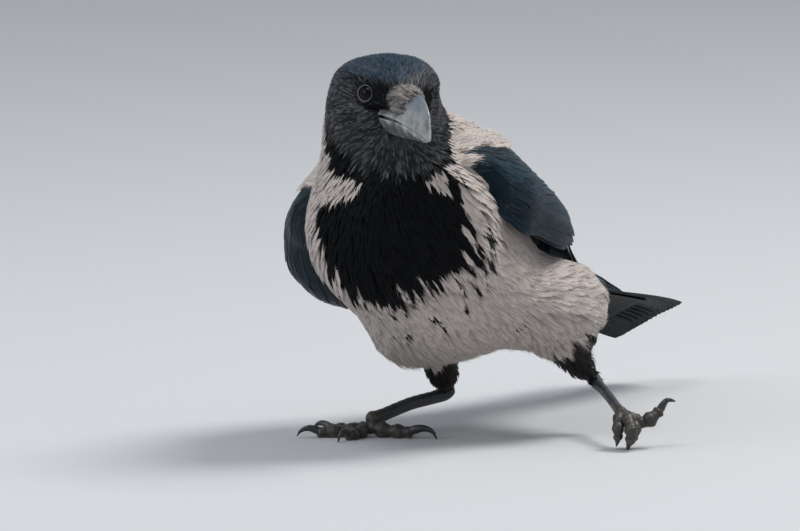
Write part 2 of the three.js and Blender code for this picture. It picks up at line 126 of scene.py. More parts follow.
def headAxes():
    turn, dip = math.radians(pose["headTurn"]), math.radians(pose["headDip"])
    forward = np.array([math.sin(turn) * math.cos(dip), -math.cos(turn) * math.cos(dip), -math.sin(dip)])
    leftward = turned(np.array([math.cos(turn), math.sin(turn), 0]), forward, pose["headTilt"])
    upward = np.cross(forward, leftward)
    eyes = [sum(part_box(name), Vector()) / 2 for name in ("eye_left", "eye_right")]
    middle = np.array(sum(eyes, Vector()) / 2)
    origin = middle - forward * pose["eyes"][0] - upward * pose["eyes"][2]
    return {"origin": origin, "turn": np.array([forward, leftward, upward])}


def trunkAxes():
    slope = math.radians(pose["backSlope"])
    rearward = np.array([0, math.cos(slope), -math.sin(slope)])
    leftward = turned(np.array([1.0, 0, 0]), rearward, -pose["trunkRoll"])
    upward = np.cross(leftward, rearward)
    origin = head["origin"] + np.array(pose["wrists"])
    return {"origin": origin, "turn": np.array([rearward, leftward, upward])}


def place(axes, points):
    return axes["origin"] + np.asarray(points, float) @ axes["turn"]


def measure(axes, points):
    return (np.asarray(points, float) - axes["origin"]) @ axes["turn"].T


head = headAxes()
trunk = trunkAxes()
sole = head["origin"] + np.array(pose["sole"])


# camera, floor and lights
studio = {
    "azimuth": 27,
    "elevation": 8,
    "distance": 5.0,
    "pixelsPerMetre": 1800,  # at the right foot
    "solePixel": (372, 436.5),
    "frameSize": (800, 531),
    "sensor": 36,
    "floorReach": 12,
    "floorTone": (0.50, 0.505, 0.515, 1),
    "floorRoughness": 0.85,
    "skyTone": (0.86, 0.92, 1.0, 1),
    "skyStrength": 0.5,
    "lampAim": (0.05, 0.05, 0.12),  # from the sole
    "lamps": {
        "key": {"from": (1.2, 0.9, 2.6), "size": 1.4, "power": 70, "tone": (1.0, 0.985, 0.96)},
        "top": {"from": (-0.1, -1.3, 2.6), "size": 1.0, "power": 19, "tone": (0.95, 0.98, 1.0)},
        "fill": {"from": (-1.6, -2.2, 1.3), "size": 1.8, "power": 24, "tone": (0.92, 0.96, 1.0)},
    },
}


def addObject(name, data):
    made = bpy.data.objects.new(name, data)
    bpy.context.scene.collection.objects.link(made)
    return made


def aimAt(thing, target):
    thing.rotation_mode = "QUATERNION"
    thing.rotation_quaternion = (Vector(target) - thing.location).to_track_quat("-Z", "Y")


def setCamera():
    azimuth, elevation = math.radians(studio["azimuth"]), math.radians(studio["elevation"])
    back = np.array([math.sin(azimuth) * math.cos(elevation), -math.cos(azimuth) * math.cos(elevation),
                     math.sin(elevation)])
    right = np.array([math.cos(azimuth), math.sin(azimuth), 0])
    up = np.cross(back, right)
    wide, high = studio["frameSize"]
    aside = (wide / 2 - studio["solePixel"][0]) / studio["pixelsPerMetre"]
    rise = (studio["solePixel"][1] - high / 2) / studio["pixelsPerMetre"]
    data = bpy.data.cameras.new("camera")
    data.sensor_width = studio["sensor"]
    data.lens = studio["pixelsPerMetre"] * studio["distance"] / wide * studio["sensor"]
    data.clip_end = 50
    camera = addObject("camera", data)
    camera.location = sole + back * studio["distance"]
    aimAt(camera, sole + right * aside + up * rise)
    bpy.context.scene.camera = camera


def setLamp(name, lamp):
    data = bpy.data.lights.new(name, "AREA")
    data.shape = "DISK"
    data.size = lamp["size"]
    data.energy = lamp["power"]
    data.color = lamp["tone"]
    made = addObject(name, data)
    made.location = sole + np.array(lamp["from"])
    aimAt(made, sole + np.array(studio["lampAim"]))


def setFloor():
    reach = studio["floorReach"]
    corners = [(-reach, -reach, 0), (reach, -reach, 0), (reach, reach, 0), (-reach, reach, 0)]
    mesh = bpy.data.meshes.new("floor")
    mesh.from_pydata(corners, [], [(0, 1, 2, 3)])
    paint = {"Base Color": studio["floorTone"], "Roughness": studio["floorRoughness"]}
    mesh.materials.append(Finish("floorPaint").shade(paint))
    floor = addObject("floor", mesh)


def setSky():
    world = bpy.data.worlds.new("sky")
    world.use_nodes = True
    background = world.node_tree.nodes["Background"]
    background.inputs["Color"].default_value = studio["skyTone"]
    background.inputs["Strength"].default_value = studio["skyStrength"]
    bpy.context.scene.world = world
    bpy.context.scene.view_settings.view_transform = "Standard"


def setStudio():
    setSky()
    setCamera()
    setFloor()
    for name, lamp in studio["lamps"].items():
        setLamp(name, lamp)
    print(f"studio: camera, floor and {len(studio['lamps'])} lamps")


# one material: its shader and the nodes that lead to it
class Finish:
    def __init__(self, name):
        self.material = bpy.data.materials.new(name)
        self.material.use_nodes = True
        self.tree = self.material.node_tree

    # each input gets a fixed value or the output of another node
    def fill(self, node, inputs):
        for key, value in inputs.items():
            if isinstance(value, bpy.types.NodeSocket):
                self.tree.links.new(value, node.inputs[key])
            else:
                node.inputs[key].default_value = value

    def shade(self, inputs):
        self.fill(self.tree.nodes["Principled BSDF"], inputs)
        return self.material

    def add(self, kind, inputs=None, **settings):
        made = self.tree.nodes.new(kind)
        for key, value in settings.items():
            setattr(made, key, value)
        self.fill(made, inputs or {})
        return made

    def maths(self, operation, a, b=0.0):
        return self.add("ShaderNodeMath", {0: a, 1: b}, operation=operation).outputs[0]

    def times(self, a, b):
        return self.maths("MULTIPLY", a, b)

    # one value plus a share of another
    def plus(self, a, b, share):
        return self.maths("ADD", a, self.times(b, share))

    def mix(self, share, a, b, blend="MIX"):
        made = self.add("ShaderNodeMix", {0: share, 6: a, 7: b}, data_type="RGBA", blend_type=blend)
        return made.outputs[2]

    def span(self, value, low, high, to=(0, 1)):
        inputs = {0: value, 1: low, 2: high, 3: to[0], 4: to[1]}
        return self.add("ShaderNodeMapRange", inputs, interpolation_type="SMOOTHSTEP").outputs[0]

    def split(self, vector):
        return self.add("ShaderNodeSeparateXYZ", {0: vector}).outputs

    def vector(self, x, y, z=0.0):
        return self.add("ShaderNodeCombineXYZ", {0: x, 1: y, 2: z}).outputs[0]

    def attribute(self, name, output="Fac"):
        return self.add("ShaderNodeAttribute", attribute_name=name).outputs[output]

    # the three values that each vertex has for its place on a feather, plate or horn
    def lie(self):
        return self.split(self.attribute("lie", "Vector"))

    # the height of the normal: 1 on what faces the sky
    def skyward(self):
        return self.split(self.add("ShaderNodeNewGeometry").outputs["Normal"])[2]

    def coords(self):
        return self.add("ShaderNodeTexCoord").outputs["Object"]

    def noise(self, scale, detail=3, coords=None):
        if coords is None:
            coords = self.coords()
        inputs = {"Vector": coords, "Scale": scale, "Detail": detail, "Roughness": 0.55}
        return self.add("ShaderNodeTexNoise", inputs).outputs[0]

    def bump(self, height, distance, strength):
        inputs = {"Height": height, "Distance": distance, "Strength": strength}
        return self.add("ShaderNodeBump", inputs).outputs[0]


# finishes of the loose feathers; all colours are linear
black = (0.0030, 0.0034, 0.0045, 1)
plumage = {
    "softGrey": {
        "tone": (0.56, 0.495, 0.455, 1),
        "deep": (0.47, 0.405, 0.37, 1),  # in the hollows between the tones
        "shaft": (0.16, 0.125, 0.11, 1),
        "contrast": (0.15, 0.9),
        "streaks": 0.5,  # feathers with a tone above this show their shaft
        "roughness": 0.72,
        "gloss": 0.3,
        "sheen": 0.12,
    },
    "hoodBlack": {
        # tone: partly the hood's own dark grey, partly painted sheen, grey streaks that stand in for the
        # gloss of the black feathers
        "tone": (0.092, 0.095, 0.106, 1),
        "deep": black,
        "shaft": black,
        "contrast": (0.36, 0.86),
        "streaks": 0.9,
        "roughness": 0.42,
        "gloss": 0.26,
        "sheen": 0.0,
        "paintedBlueGloss": (0.010, 0.036, 0.066, 1),
    },
    "bibBlack": {
        "tone": black,
        "deep": black,
        "shaft": black,
        "contrast": (0.15, 0.9),
        "streaks": 0.9,
        "roughness": 0.55,
        "gloss": 0.08,
        "sheen": 0.0,
    },
    "shinBrown": {
        "tone": (0.022, 0.016, 0.012, 1),
        "deep": black,
        "shaft": black,
        "contrast": (0.15, 0.9),
        "streaks": 0.9,
        "roughness": 0.6,
        "gloss": 0.2,
        "sheen": 0.0,
    },
    "bristleBrown": {
        "tone": (0.27, 0.242, 0.222, 1),
        "deep": (0.035, 0.028, 0.024, 1),
        "shaft": (0.008, 0.007, 0.006, 1),
        "contrast": (0.34, 0.72),
        "streaks": 2,
        "roughness": 0.5,
        "gloss": 0.4,
        "sheen": 0.0,
    },
}


# "lie" holds the way along and across each feather and the feather's own tone
def plumageMaterial(name):
    look = plumage[name]
    finish = Finish(name)
    along, across, own = finish.lie()
    blend = finish.plus(finish.times(own, 0.45), finish.noise(55), 0.6)
    colour = finish.mix(finish.span(blend, *look["contrast"]), look["deep"], look["tone"])
    low = finish.span(along, 0.1, 0.75, (0.72, 1.0))  # painted shade: darker towards the root, where the feathers lie over each other
    colour = finish.mix(1.0, colour, finish.vector(low, low, low), "MULTIPLY")
    middle = finish.span(finish.maths("ABSOLUTE", across), 0.0, 0.16, (1, 0))
    chosen = finish.span(own, look["streaks"], look["streaks"] + 0.1)
    line = finish.times(middle, finish.times(chosen, finish.span(along, 0.3, 0.6)))
    colour = finish.mix(line, colour, look["shaft"])
    # painted reflection: the hood's blue gloss is painted onto what faces the sky
    if "paintedBlueGloss" in look:
        top = finish.span(finish.skyward(), 0.66, 1.0, (0, 0.85))
        colour = finish.mix(finish.times(top, finish.span(along, 0.3, 0.9)), colour, look["paintedBlueGloss"])
    hairs = finish.noise(1400, 2)
    return finish.shade({
        "Base Color": colour,
        "Normal": finish.bump(hairs, 0.0002, 0.35),
        "Roughness": finish.span(hairs, 0.3, 0.7, (look["roughness"] - 0.08, look["roughness"] + 0.08)),
        "Specular IOR Level": look["gloss"],
        "Sheen Weight": look["sheen"],
        "Sheen Roughness": 0.45,
    })


# each "gloss" colour is painted reflection, laid onto what faces the sky
vanes = {
    "wingVanes": {
        "tone": (0.0045, 0.009, 0.014, 1),
        "gloss": (0.005, 0.022, 0.038, 1),
        "rimShare": 0.5,
        "shine": 0.17,
    },
    "tailVanes": {
        "tone": black,
        "gloss": (0.0045, 0.009, 0.014, 1),
        "rimShare": 0.1,
        "shine": 0.04,
    },
    "rim": (0.075, 0.085, 0.095, 1),
    "shaft": (0.012, 0.011, 0.012, 1),
    "tint": (0.50, 0.80, 1.0, 1),  # of the reflections
    "barb": 0.0011,  # spacing of the barbs
    "slant": 0.012,  # how far a barb runs back towards the root on its way to the shaft
}


# firm vanes of wing and tail: fine barbs slant outwards from the shaft
def vaneMaterial(name):
    look = vanes[name]
    finish = Finish(name)
    along, across, own = finish.lie()
    away = finish.maths("ABSOLUTE", across)
    run = finish.plus(finish.times(along, finish.attribute("span")), away, -vanes["slant"])
    barbs = finish.maths("SINE", finish.times(run, 2 * math.pi / vanes["barb"]))
    coarse = finish.noise(420, 2, finish.vector(run, own))
    blend = finish.plus(finish.times(own, 0.5), finish.noise(45), 0.6)
    # painted reflection: the blue gloss colour is painted onto what faces the sky
    paintedGlossShare = finish.times(finish.span(blend, 0.3, 0.8), finish.span(finish.skyward(), -0.15, 0.7))
    colour = finish.mix(paintedGlossShare, look["tone"], look["gloss"])
    edge = finish.times(finish.span(away, 0.84, 1.0), look["rimShare"])
    colour = finish.mix(finish.times(edge, finish.span(own, 0.25, 0.8)), colour, vanes["rim"])
    colour = finish.mix(finish.span(away, 0.015, 0.05, (0.8, 0)), colour, vanes["shaft"])
    return finish.shade({
        "Base Color": colour,
        "Normal": finish.bump(finish.plus(coarse, barbs, 0.25), 0.00035, 0.5),
        "Roughness": finish.span(coarse, 0.3, 0.7, (0.30, 0.46)),
        "Specular IOR Level": look["shine"],
        "Specular Tint": vanes["tint"],
    })


# a mesh object from vertices, triangles and attributes that are given for each vertex
def addMesh(name, vertices, triangles, material, attributes=None, bakeMap=None, normals=None):
    vertices = np.asarray(vertices, np.float32)
    triangles = np.asarray(triangles, np.int32)
    mesh = bpy.data.meshes.new(name)
    mesh.vertices.add(len(vertices))
    mesh.vertices.foreach_set("co", vertices.ravel())
    mesh.loops.add(triangles.size)
    mesh.loops.foreach_set("vertex_index", triangles.ravel())
    mesh.polygons.add(len(triangles))
    mesh.polygons.foreach_set("loop_start", np.arange(0, triangles.size, 3, dtype=np.int32))
    mesh.polygons.foreach_set("use_smooth", np.ones(len(triangles), bool))
    mesh.update(calc_edges=True)
    for key, values in (attributes or {}).items():
        values = np.asarray(values, np.float32)
        kind, slot = ("FLOAT_VECTOR", "vector") if values.ndim == 2 else ("FLOAT", "value")
        mesh.attributes.new(key, kind, "POINT").data.foreach_set(slot, values.ravel())
    if bakeMap is not None:
        layer = mesh.uv_layers.new(name="OFBake")
        layer.data.foreach_set("uv", np.asarray(bakeMap, np.float32)[triangles.ravel()].ravel())
    if normals is not None:
        mesh.normals_split_custom_set_from_vertices(normals)
    mesh.materials.append(material)
    return addObject(name, mesh)


# gathers many small closed bodies, to be joined into one mesh
class Bundle:
    def __init__(self):
        self.vertices, self.triangles, self.lie, self.bake, self.span, self.normals = [], [], [], [], [], []
        self.count, self.bodies = 0, 0

    # points: bodies x vertices x 3; triangles: one list shared by all the bodies
    def add(self, points, triangles, lie, bake, normals, span=0.0):
        bodies, each = points.shape[:2]
        triangles = np.asarray(triangles)
        # faces look outwards on both sides of the bird
        some = points[::max(1, bodies // 40)]
        some = some - some.mean(axis=1, keepdims=True)
        a, b, c = (some[:, triangles[:, k]] for k in range(3))
        if np.sign((np.cross(a, b) * c).sum(axis=(1, 2))).sum() < 0:
            triangles = triangles[:, ::-1]
        starts = self.count + np.arange(bodies)[:, None, None] * each
        self.normals.append(np.broadcast_to(normals, points.shape).reshape(-1, 3))
        self.vertices.append(points.reshape(-1, 3))
        self.triangles.append((triangles[None] + starts).reshape(-1, 3))
        self.lie.append(np.broadcast_to(lie, points.shape).reshape(-1, 3))
        self.bake.append(np.broadcast_to(bake, (bodies, each, 2)).reshape(-1, 2))
        self.span.append(np.broadcast_to(np.reshape(span, (-1, 1)), (bodies, each)).reshape(-1))
        self.count += bodies * each

    def build(self, name, material):
        return addMesh(name, np.concatenate(self.vertices), np.concatenate(self.triangles), material,
                       {"lie": np.concatenate(self.lie), "span": np.concatenate(self.span)},
                       np.clip(np.concatenate(self.bake), 0, 1), unit(np.concatenate(self.normals)))


def finishPiece(piece, slot, *nodes):
    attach(piece, "root")
    if nodes:
        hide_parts(*nodes)
    print(f"{piece.name}: {len(piece.data.polygons)} faces")


def splitQuads(quads):
    return np.concatenate([quads[:, [0, 1, 2]], quads[:, [0, 2, 3]]])


def quadEdges(quads):
    return np.concatenate([quads[:, [k, (k + 1) % 4]] for k in range(4)])


# triangles of a grid of rows that is closed on itself round each row
def gridTriangles(rows, around):
    row = np.arange(rows - 1)[:, None]
    column = np.arange(around)[None]
    a, b = row * around + column, row * around + (column + 1) % around
    c, d = a + around, b + around
    return np.stack([np.stack([a, c, d], -1), np.stack([a, d, b], -1)]).reshape(-1, 3)


# the same grid, closed at both ends by two points that follow the grid's own
def cappedTriangles(rows, around):
    ring, last = np.arange(around), (rows - 1) * around
    following = (ring + 1) % around
    first, final = (np.full(around, rows * around + k) for k in (0, 1))
    return np.concatenate([gridTriangles(rows, around), np.stack([ring, following, first], 1),
                           np.stack([last + following, last + ring, final], 1)])


# several meshes as one: points, faces and the values of each point
def joined(parts):
    starts = np.cumsum([0] + [len(part[0]) for part in parts[:-1]])
    return (np.concatenate([part[0] for part in parts]),
            np.concatenate([part[1] + start for part, start in zip(parts, starts)]),
            np.concatenate([part[2] for part in parts]))


# gives a function that finds the nearest place on a surface, its normal and the lie of the plumage there
def nearestOn(points, normals, flow):
    tree = KDTree(len(points))
    for index, point in enumerate(points):
        tree.insert(point, index)
    tree.balance()

    def found(places):
        at = np.array([tree.find(place)[1] for place in places])
        return places - normals[at] * dot(places - points[at], normals[at]), normals[at], flow[at]

    return found


# the line through head, neck and trunk that the plumage follows
spineKnots = np.concatenate([
    place(head, np.array([[24, 0, -3], [0, 0, -3], [-14, 0, -30]]) * mm),
    place(trunk, np.array([[8, 0, -18], [62, 0, -36], [120, 0, -30], [184, 0, -24], [240, 0, -17]]) * mm),
])


def makeSpine(samples=160, rounds=60):
    steps = np.linalg.norm(np.diff(spineKnots, axis=0), axis=1)
    stations = np.concatenate([[0], np.cumsum(steps)])
    at = np.linspace(0, stations[-1], samples)
    line = np.stack([np.interp(at, stations, spineKnots[:, k]) for k in range(3)], axis=1)
    for _ in range(rounds):
        line[1:-1] = (line[:-2] + 2 * line[1:-1] + line[2:]) / 4
    tangents = unit(np.gradient(line, axis=0))
    lengths = np.concatenate([[0], np.cumsum(np.linalg.norm(np.diff(line, axis=0), axis=1))])
    return line, tangents, lengths


spine, spineTangents, spineLengths = makeSpine()


# for each point: distance along the spine, direction of the spine and nearest place on it
def alongSpine(points):
    stations, directions, centres = [], [], []
    for chunk in np.array_split(np.asarray(points), max(1, len(points) // 4000)):
        squares = ((chunk[:, None] - spine[None]) ** 2).sum(axis=2)
        weights = 1 / (squares + (3 * mm) ** 2) ** 4
        weights /= weights.sum(axis=1, keepdims=True)
        stations.append(weights @ spineLengths)
        directions.append(unit(weights @ spineTangents))
        centres.append(weights @ spine)
    return np.concatenate(stations), np.concatenate(directions), np.concatenate(centres)


# unwrap of the body: round the spine and along it
def unwrap(points):
    stations, directions, centres = alongSpine(points)
    sideways = mix(head["turn"][1], trunk["turn"][1], ease(stations, 0.03, 0.08)[:, None])
    sideways = tangential(sideways, directions)
    upward = np.cross(sideways, directions)
    out = points - centres
    angle = np.arctan2((out * sideways).sum(axis=1), (out * upward).sum(axis=1))
    turn = angle / (2 * math.pi) + 0.5
    return 0.02 + 0.96 * np.stack([turn, stations / spineLengths[-1]], axis=1)


legKnots = {  # millimetres from the point under the right foot's ball
    "right": {"knee": (34.5, 0, 83), "heel": (18, 57, 20), "ball": (-2, -1, 8.5)},
    "left": {"knee": (82.5, 11, 91), "heel": (106, 66, 29.5), "ball": (143.7, 21.6, 18)},
}


# share of the way from knee to heel, distance from that line and its direction, for the nearer leg
def alongShin(points):
    best = np.full(len(points), 1e9)
    share, direction = np.zeros(len(points)), np.zeros((len(points), 3))
    for knots in legKnots.values():
        knee, heel = sole + np.array([knots["knee"], knots["heel"]]) * mm
        line = heel - knee
        t = ((points - knee) @ line) / (line @ line)
        gap = np.linalg.norm(points - knee - np.clip(t, 0, 1.1)[:, None] * line, axis=1)
        nearer = gap < best
        best, share = np.where(nearer, gap, best), np.where(nearer, t, share)
        direction[nearer] = unit(line)
    return share, best, direction


# 1 on the feathered lower leg, 0 on the trunk
def onShin(points):
    share, gap, _ = alongShin(points)
    return ease(share, 0.46, 0.60) * (1 - ease(gap, 14 * mm, 18 * mm))


# markings: millimetres inside (+) or outside (-) the black hood and bib
markings = {
    "hoodEdge": (-35.5, -0.76, 0.45),  # height of the edge, its slope forward and its slope leftward
    "nape": (-14, 2.2, 8),  # behind this place the edge climbs with this slope and by this much at most
    "bib": [(-34, -23), (-25, -25), (-6, -27.5), (14, -24), (29, -22), (36, -25), (41, -18), (44, -11),
            (46, -19), (46, -27), (42, -35), (47, -43), (42, -52), (37, -60), (26, -68), (18, -71), (9, -75),
            (-2, -79), (-12, -75), (-20, -71), (-26, -63), (-31, -56), (-35, -45), (-35, -36)],
    "bibBack": 34,
    "throat": (13.5, 18, 15),  # middle, half width and how much wider under the hood
    "front": -8,
}


# millimetres inside (+) or outside (-) a closed outline in the plane
def insideOutline(outline, x, y):
    corners = np.array(outline, float)
    best, inside = np.full(len(x), 1e9), np.zeros(len(x), bool)
    for (ax, ay), (bx, by) in zip(corners, np.roll(corners, -1, axis=0)):
        t = np.clip(((x - ax) * (bx - ax) + (y - ay) * (by - ay)) / ((bx - ax) ** 2 + (by - ay) ** 2), 0, 1)
        best = np.minimum(best, np.hypot(x - ax - t * (bx - ax), y - ay - t * (by - ay)))
        crosses = (ay > y) != (by > y)
        inside ^= crosses & (x < ax + (y - ay) * (bx - ax) / (by - ay + 1e-9))
    return np.where(inside, best, -best)


def blackness(points):
    forward, leftward, upward = (measure(head, points) / mm).T
    base, perForward, perLeftward = markings["hoodEdge"]
    start, slope, most = markings["nape"]
    edge = base + perForward * forward + perLeftward * leftward + np.clip(slope * (start - forward), 0, most)
    hood = (upward - edge) * 0.78
    rearward, aside, rise = (measure(trunk, points) / mm).T
    bib = np.minimum(insideOutline(markings["bib"], aside, rise), markings["bibBack"] - rearward)
    middle, half, wider = markings["throat"]
    opened = ease(rise, -21, -8)
    throat = half + wider * opened - np.abs(aside - middle + 2.5 * opened)
    throat = np.minimum(throat, markings["front"] - rearward)
    throat = np.minimum(throat, rise + 40)
    return np.maximum(np.maximum(hood, bib), throat)


# skin
skinSettings = {
    "voxel": 0.0015,
    "smoothing": 12,
    "depth": [[0, 0.0010], [0.04, 0.0010], [0.07, 0.0028], [0.11, 0.0042]],  # under the coat, along the spine
    "shinDepth": 0.0016,
    "flesh": ("head", "neck", "trunk", "thigh_left", "thigh_right"),
}


def remeshedFlesh():
    vertices, faces, start = [], [], 0
    for name in skinSettings["flesh"]:
        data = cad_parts[name].data
        vertices += [tuple(v.co) for v in data.vertices]
        faces += [tuple(start + i for i in p.vertices) for p in data.polygons]
        start += len(data.vertices)
    mesh = bpy.data.meshes.new("fleshHull")
    mesh.from_pydata(vertices, [], faces)
    hull = addObject("fleshHull", mesh)
    weld = hull.modifiers.new("weld", "WELD")
    weld.merge_threshold = 1e-6
    remesh = hull.modifiers.new("remesh", "REMESH")
    remesh.mode = "VOXEL"
    remesh.voxel_size = skinSettings["voxel"]
    made = hull.evaluated_get(bpy.context.evaluated_depsgraph_get()).to_mesh()
    count = len(made.vertices)
    points = np.empty(count * 3)
    made.vertices.foreach_get("co", points)
    quads = np.array([tuple(p.vertices) for p in made.polygons if len(p.vertices) == 4])
    bpy.data.objects.remove(hull)
    return largestShell(points.reshape(-1, 3), quads)


# keeps only the outermost connected shell
def largestShell(points, quads):
    label = np.arange(len(points))
    edges = quadEdges(quads)
    while True:
        low = np.minimum(label[edges[:, 0]], label[edges[:, 1]])
        fresh = label.copy()
        np.minimum.at(fresh, edges[:, 0], low)
        np.minimum.at(fresh, edges[:, 1], low)
        fresh = fresh[fresh]
        if (fresh == label).all():
            break
        label = fresh
    main = np.bincount(label).argmax()
    kept = label == main
    order = np.cumsum(kept) - 1
    return points[kept], order[quads[kept[quads].all(axis=1)]]


def neighbourAverage(values, edges, degree):
    near, far = edges.T
    total = [np.bincount(near, values[far, k], len(values)) + np.bincount(far, values[near, k], len(values))
             for k in range(3)]
    return np.stack(total, axis=1) / degree[:, None]


def vertexNormals(points, quads):
    a, b, c, d = (points[quads[:, k]] for k in range(4))
    faces = np.cross(c - a, d - b)
    total = [sum(np.bincount(quads[:, k], faces[:, axis], len(points)) for k in range(4))
             for axis in range(3)]
    return unit(np.stack(total, axis=1))


# direction in which the plumage lies
def featherFlow(points, normals):
    _, directions, _ = alongSpine(points)
    away = points - place(head, np.array([27, 0, -4]) * mm)  # from the bill's root
    near = 1 - ease(np.linalg.norm(away, axis=1), 26 * mm, 52 * mm)
    flow = mix(directions, unit(away), near[:, None])
    share, gap, shinDirection = alongShin(points)
    leg = ease(share, 0.3, 0.6) * (1 - ease(gap, 13 * mm, 22 * mm))
    return tangential(mix(flow, shinDirection, leg[:, None]), normals)


def makeSkin():
    points, quads = remeshedFlesh()
    edges = np.unique(np.sort(quadEdges(quads), axis=1), axis=0)
    degree = np.bincount(edges.ravel(), minlength=len(points)).astype(float)
    for _ in range(skinSettings["smoothing"]):
        points = mix(points, neighbourAverage(points, edges, degree), 0.5)
    stations, _, _ = alongSpine(points)
    depth = mix(ramp(skinSettings["depth"], stations), skinSettings["shinDepth"], onShin(points))
    for _ in range(3):
        normals = vertexNormals(points, quads)
        for _ in range(4):
            normals = unit(mix(normals, neighbourAverage(normals, edges, degree), 0.6))
        points = points - normals * (depth / 3)[:, None]
        points = mix(points, neighbourAverage(points, edges, degree), 0.25)
    return points, quads, edges, degree


skinPoints, skinQuads, skinEdges, skinDegree = makeSkin()
print(f"skin: {len(skinPoints)} points")


# eyes and lids
eyeSettings = {
    "radius": 5.9 * mm,
    "lean": 54,  # degrees that an eye looks away from straight ahead
    "tip": 5,  # degrees that it looks up
    "seat": [[0, 1.2], [4.2, 1.2], [5.2, 3.7], [5.9, 3.8], [7.0, 2.7], [9, 1.0], [12, -1.5]],  # skin round it
    "lore": 3.0,  # how much fuller the skin is in front of the eye and over it
    "brow": 2.0,
    "rows": [  # the lids: distance from the eye's axis, height over its middle and paleness of the rim
        [4.12, 4.16, 0], [4.20, 4.50, 0.5], [4.40, 4.70, 1], [4.66, 4.66, 0.3], [5.1, 4.4, 0], [5.8, 3.9, 0],
        [6.8, 3.0, 0], [8.2, 1.2, 0]],
    # the left rim is dimmed: painted shade under the brow
    "paleness": {"right": 1, "left": 0.4},
    "iris": (0.004, 0.0026, 0.002, 1),
    "irisDeep": (0.002, 0.0012, 0.001, 1),
    "pupil": (0.0015, 0.0015, 0.002, 1),
    "white": (0.002, 0.002, 0.002, 1),  # as good as black, and mostly under the lids
    "lid": (0.006, 0.006, 0.007, 1),
    "lidRim": (0.19, 0.195, 0.205, 1),
    "downBlack": (0.005, 0.005, 0.006, 1),
    "downPale": (0.27, 0.225, 0.20, 1),
    "downDeep": (0.008, 0.007, 0.007, 1),
}


def eyeAxes(side):
    lean, tip = math.radians(eyeSettings["lean"]), math.radians(eyeSettings["tip"])
    local = [math.cos(lean) * math.cos(tip), side * math.sin(lean) * math.cos(tip), math.sin(tip)]
    axis = np.array(local) @ head["turn"]
    ahead = tangential(head["turn"][:1], axis[None])[0]
    forward, aside, rise = pose["eyes"]
    return {"origin": place(head, [forward, side * aside, rise]),
            "turn": np.array([ahead, np.cross(axis, ahead), axis])}


eyes = {"left": eyeAxes(1), "right": eyeAxes(-1)}


# raises the skin round each eye to its lids and hides it behind the eyeball
def seatEyes(points):
    for axes in eyes.values():
        local = measure(axes, points) / mm
        away = np.hypot(local[:, 0], local[:, 1])
        # fuller lores in front of the eye and a brow over it
        ahead = np.maximum(0, local[:, 0])
        above = np.maximum(0, (measure(head, points)[:, 2] - pose["eyes"][2]) / mm)
        ring = ease(away, 5.0, 7.5) * (1 - ease(away, 10, 14))
        fuller = ring * (eyeSettings["lore"] * ahead + eyeSettings["brow"] * above) / np.maximum(away, 1)
        share = (1 - ease(away, 6.8, 10.5)) * ease(local[:, 2], -6, -2)
        local[:, 2] = mix(local[:, 2], ramp(eyeSettings["seat"], away) + fuller, share)
        points = place(axes, local * mm)
    return points


billSeat = {  # millimetres on the head's axes
    "face": 18.2,  # how far forward the face comes beside and under the bill
    "top": -2.0,  # height below which the bill stands free
    "chin": 2.5,  # how much farther the chin comes under the bill's middle
}


# draws the skin back round the corners of the mouth, so that the bill shows from the gape on
def seatBill(points):
    forward, aside, rise = (measure(head, points) / mm).T
    chin = billSeat["chin"] * ease(-rise, 14.5, 18) * (1 - ease(np.abs(aside), 4, 9))
    limit = billSeat["face"] + chin + 26 * ease(rise, billSeat["top"] - 1.5, billSeat["top"] + 2.5)
    drawn = np.where(forward > limit, limit + (forward - limit) * 0.08, forward)
    return place(head, np.stack([drawn, aside, rise], axis=1) * mm)


skinPoints = seatBill(seatEyes(skinPoints))
skinNormals = vertexNormals(skinPoints, skinQuads)
skinFlow = featherFlow(skinPoints, skinNormals)
for _ in range(10):
    skinFlow = tangential(neighbourAverage(skinFlow, skinEdges, skinDegree), skinNormals)
onSkin = nearestOn(skinPoints, skinNormals, skinFlow)


def lidMesh(side):
    around = 96
    angle = np.linspace(0, 2 * math.pi, around, endpoint=False)
    # the opening is drawn out a little to its two corners
    stretch = 1 + 0.045 * np.cos(angle) ** 6 - 0.02 * np.sin(angle) ** 2
    rows = []
    for row, (away, height, _) in enumerate(eyeSettings["rows"]):
        bead = 0.07 * np.abs(np.sin(angle * 19 + row)) if 0 < row < 5 else 0
        fold = 0.12 * np.sin(angle * 3 + row * 0.9) if row > 4 else 0
        wide = away * stretch
        rows.append(stacked(wide * np.cos(angle), wide * np.sin(angle), height + bead + fold))
    low = np.arange(len(rows) - 1)[:, None] * around
    high = low + around
    i = np.arange(around)
    j = (i + 1) % around
    quads = stacked(low + i, high + i, high + j, low + j).reshape(-1, 4)
    share = np.repeat([row[2] for row in eyeSettings["rows"]], around).reshape(-1, around)
    # painted shade: the left eye's pale rim is dimmed
    share = share * eyeSettings["paleness"][side]
    corner = np.exp(-((np.minimum(angle, 2 * math.pi - angle) / 0.16) ** 2))
    share[4:6] = np.maximum(share[4:6], corner)  # the pale inner corner
    return place(eyes[side], np.concatenate(rows) * mm), quads, share.ravel()


def skinMaterial():
    finish = Finish("skinDown")
    noise = finish.noise(380)
    lid = finish.attribute("lid")
    colour = finish.mix(finish.attribute("pale"), eyeSettings["downBlack"], eyeSettings["downPale"])
    colour = finish.mix(finish.times(noise, 0.4), colour, eyeSettings["downDeep"])
    colour = finish.mix(finish.span(lid, 0.0, 0.12), colour, eyeSettings["lid"])
    colour = finish.mix(finish.span(lid, 0.45, 0.95), colour, eyeSettings["lidRim"])
    return finish.shade({"Base Color": colour, "Normal": finish.bump(noise, 0.0004, 0.5), "Roughness": 0.6})


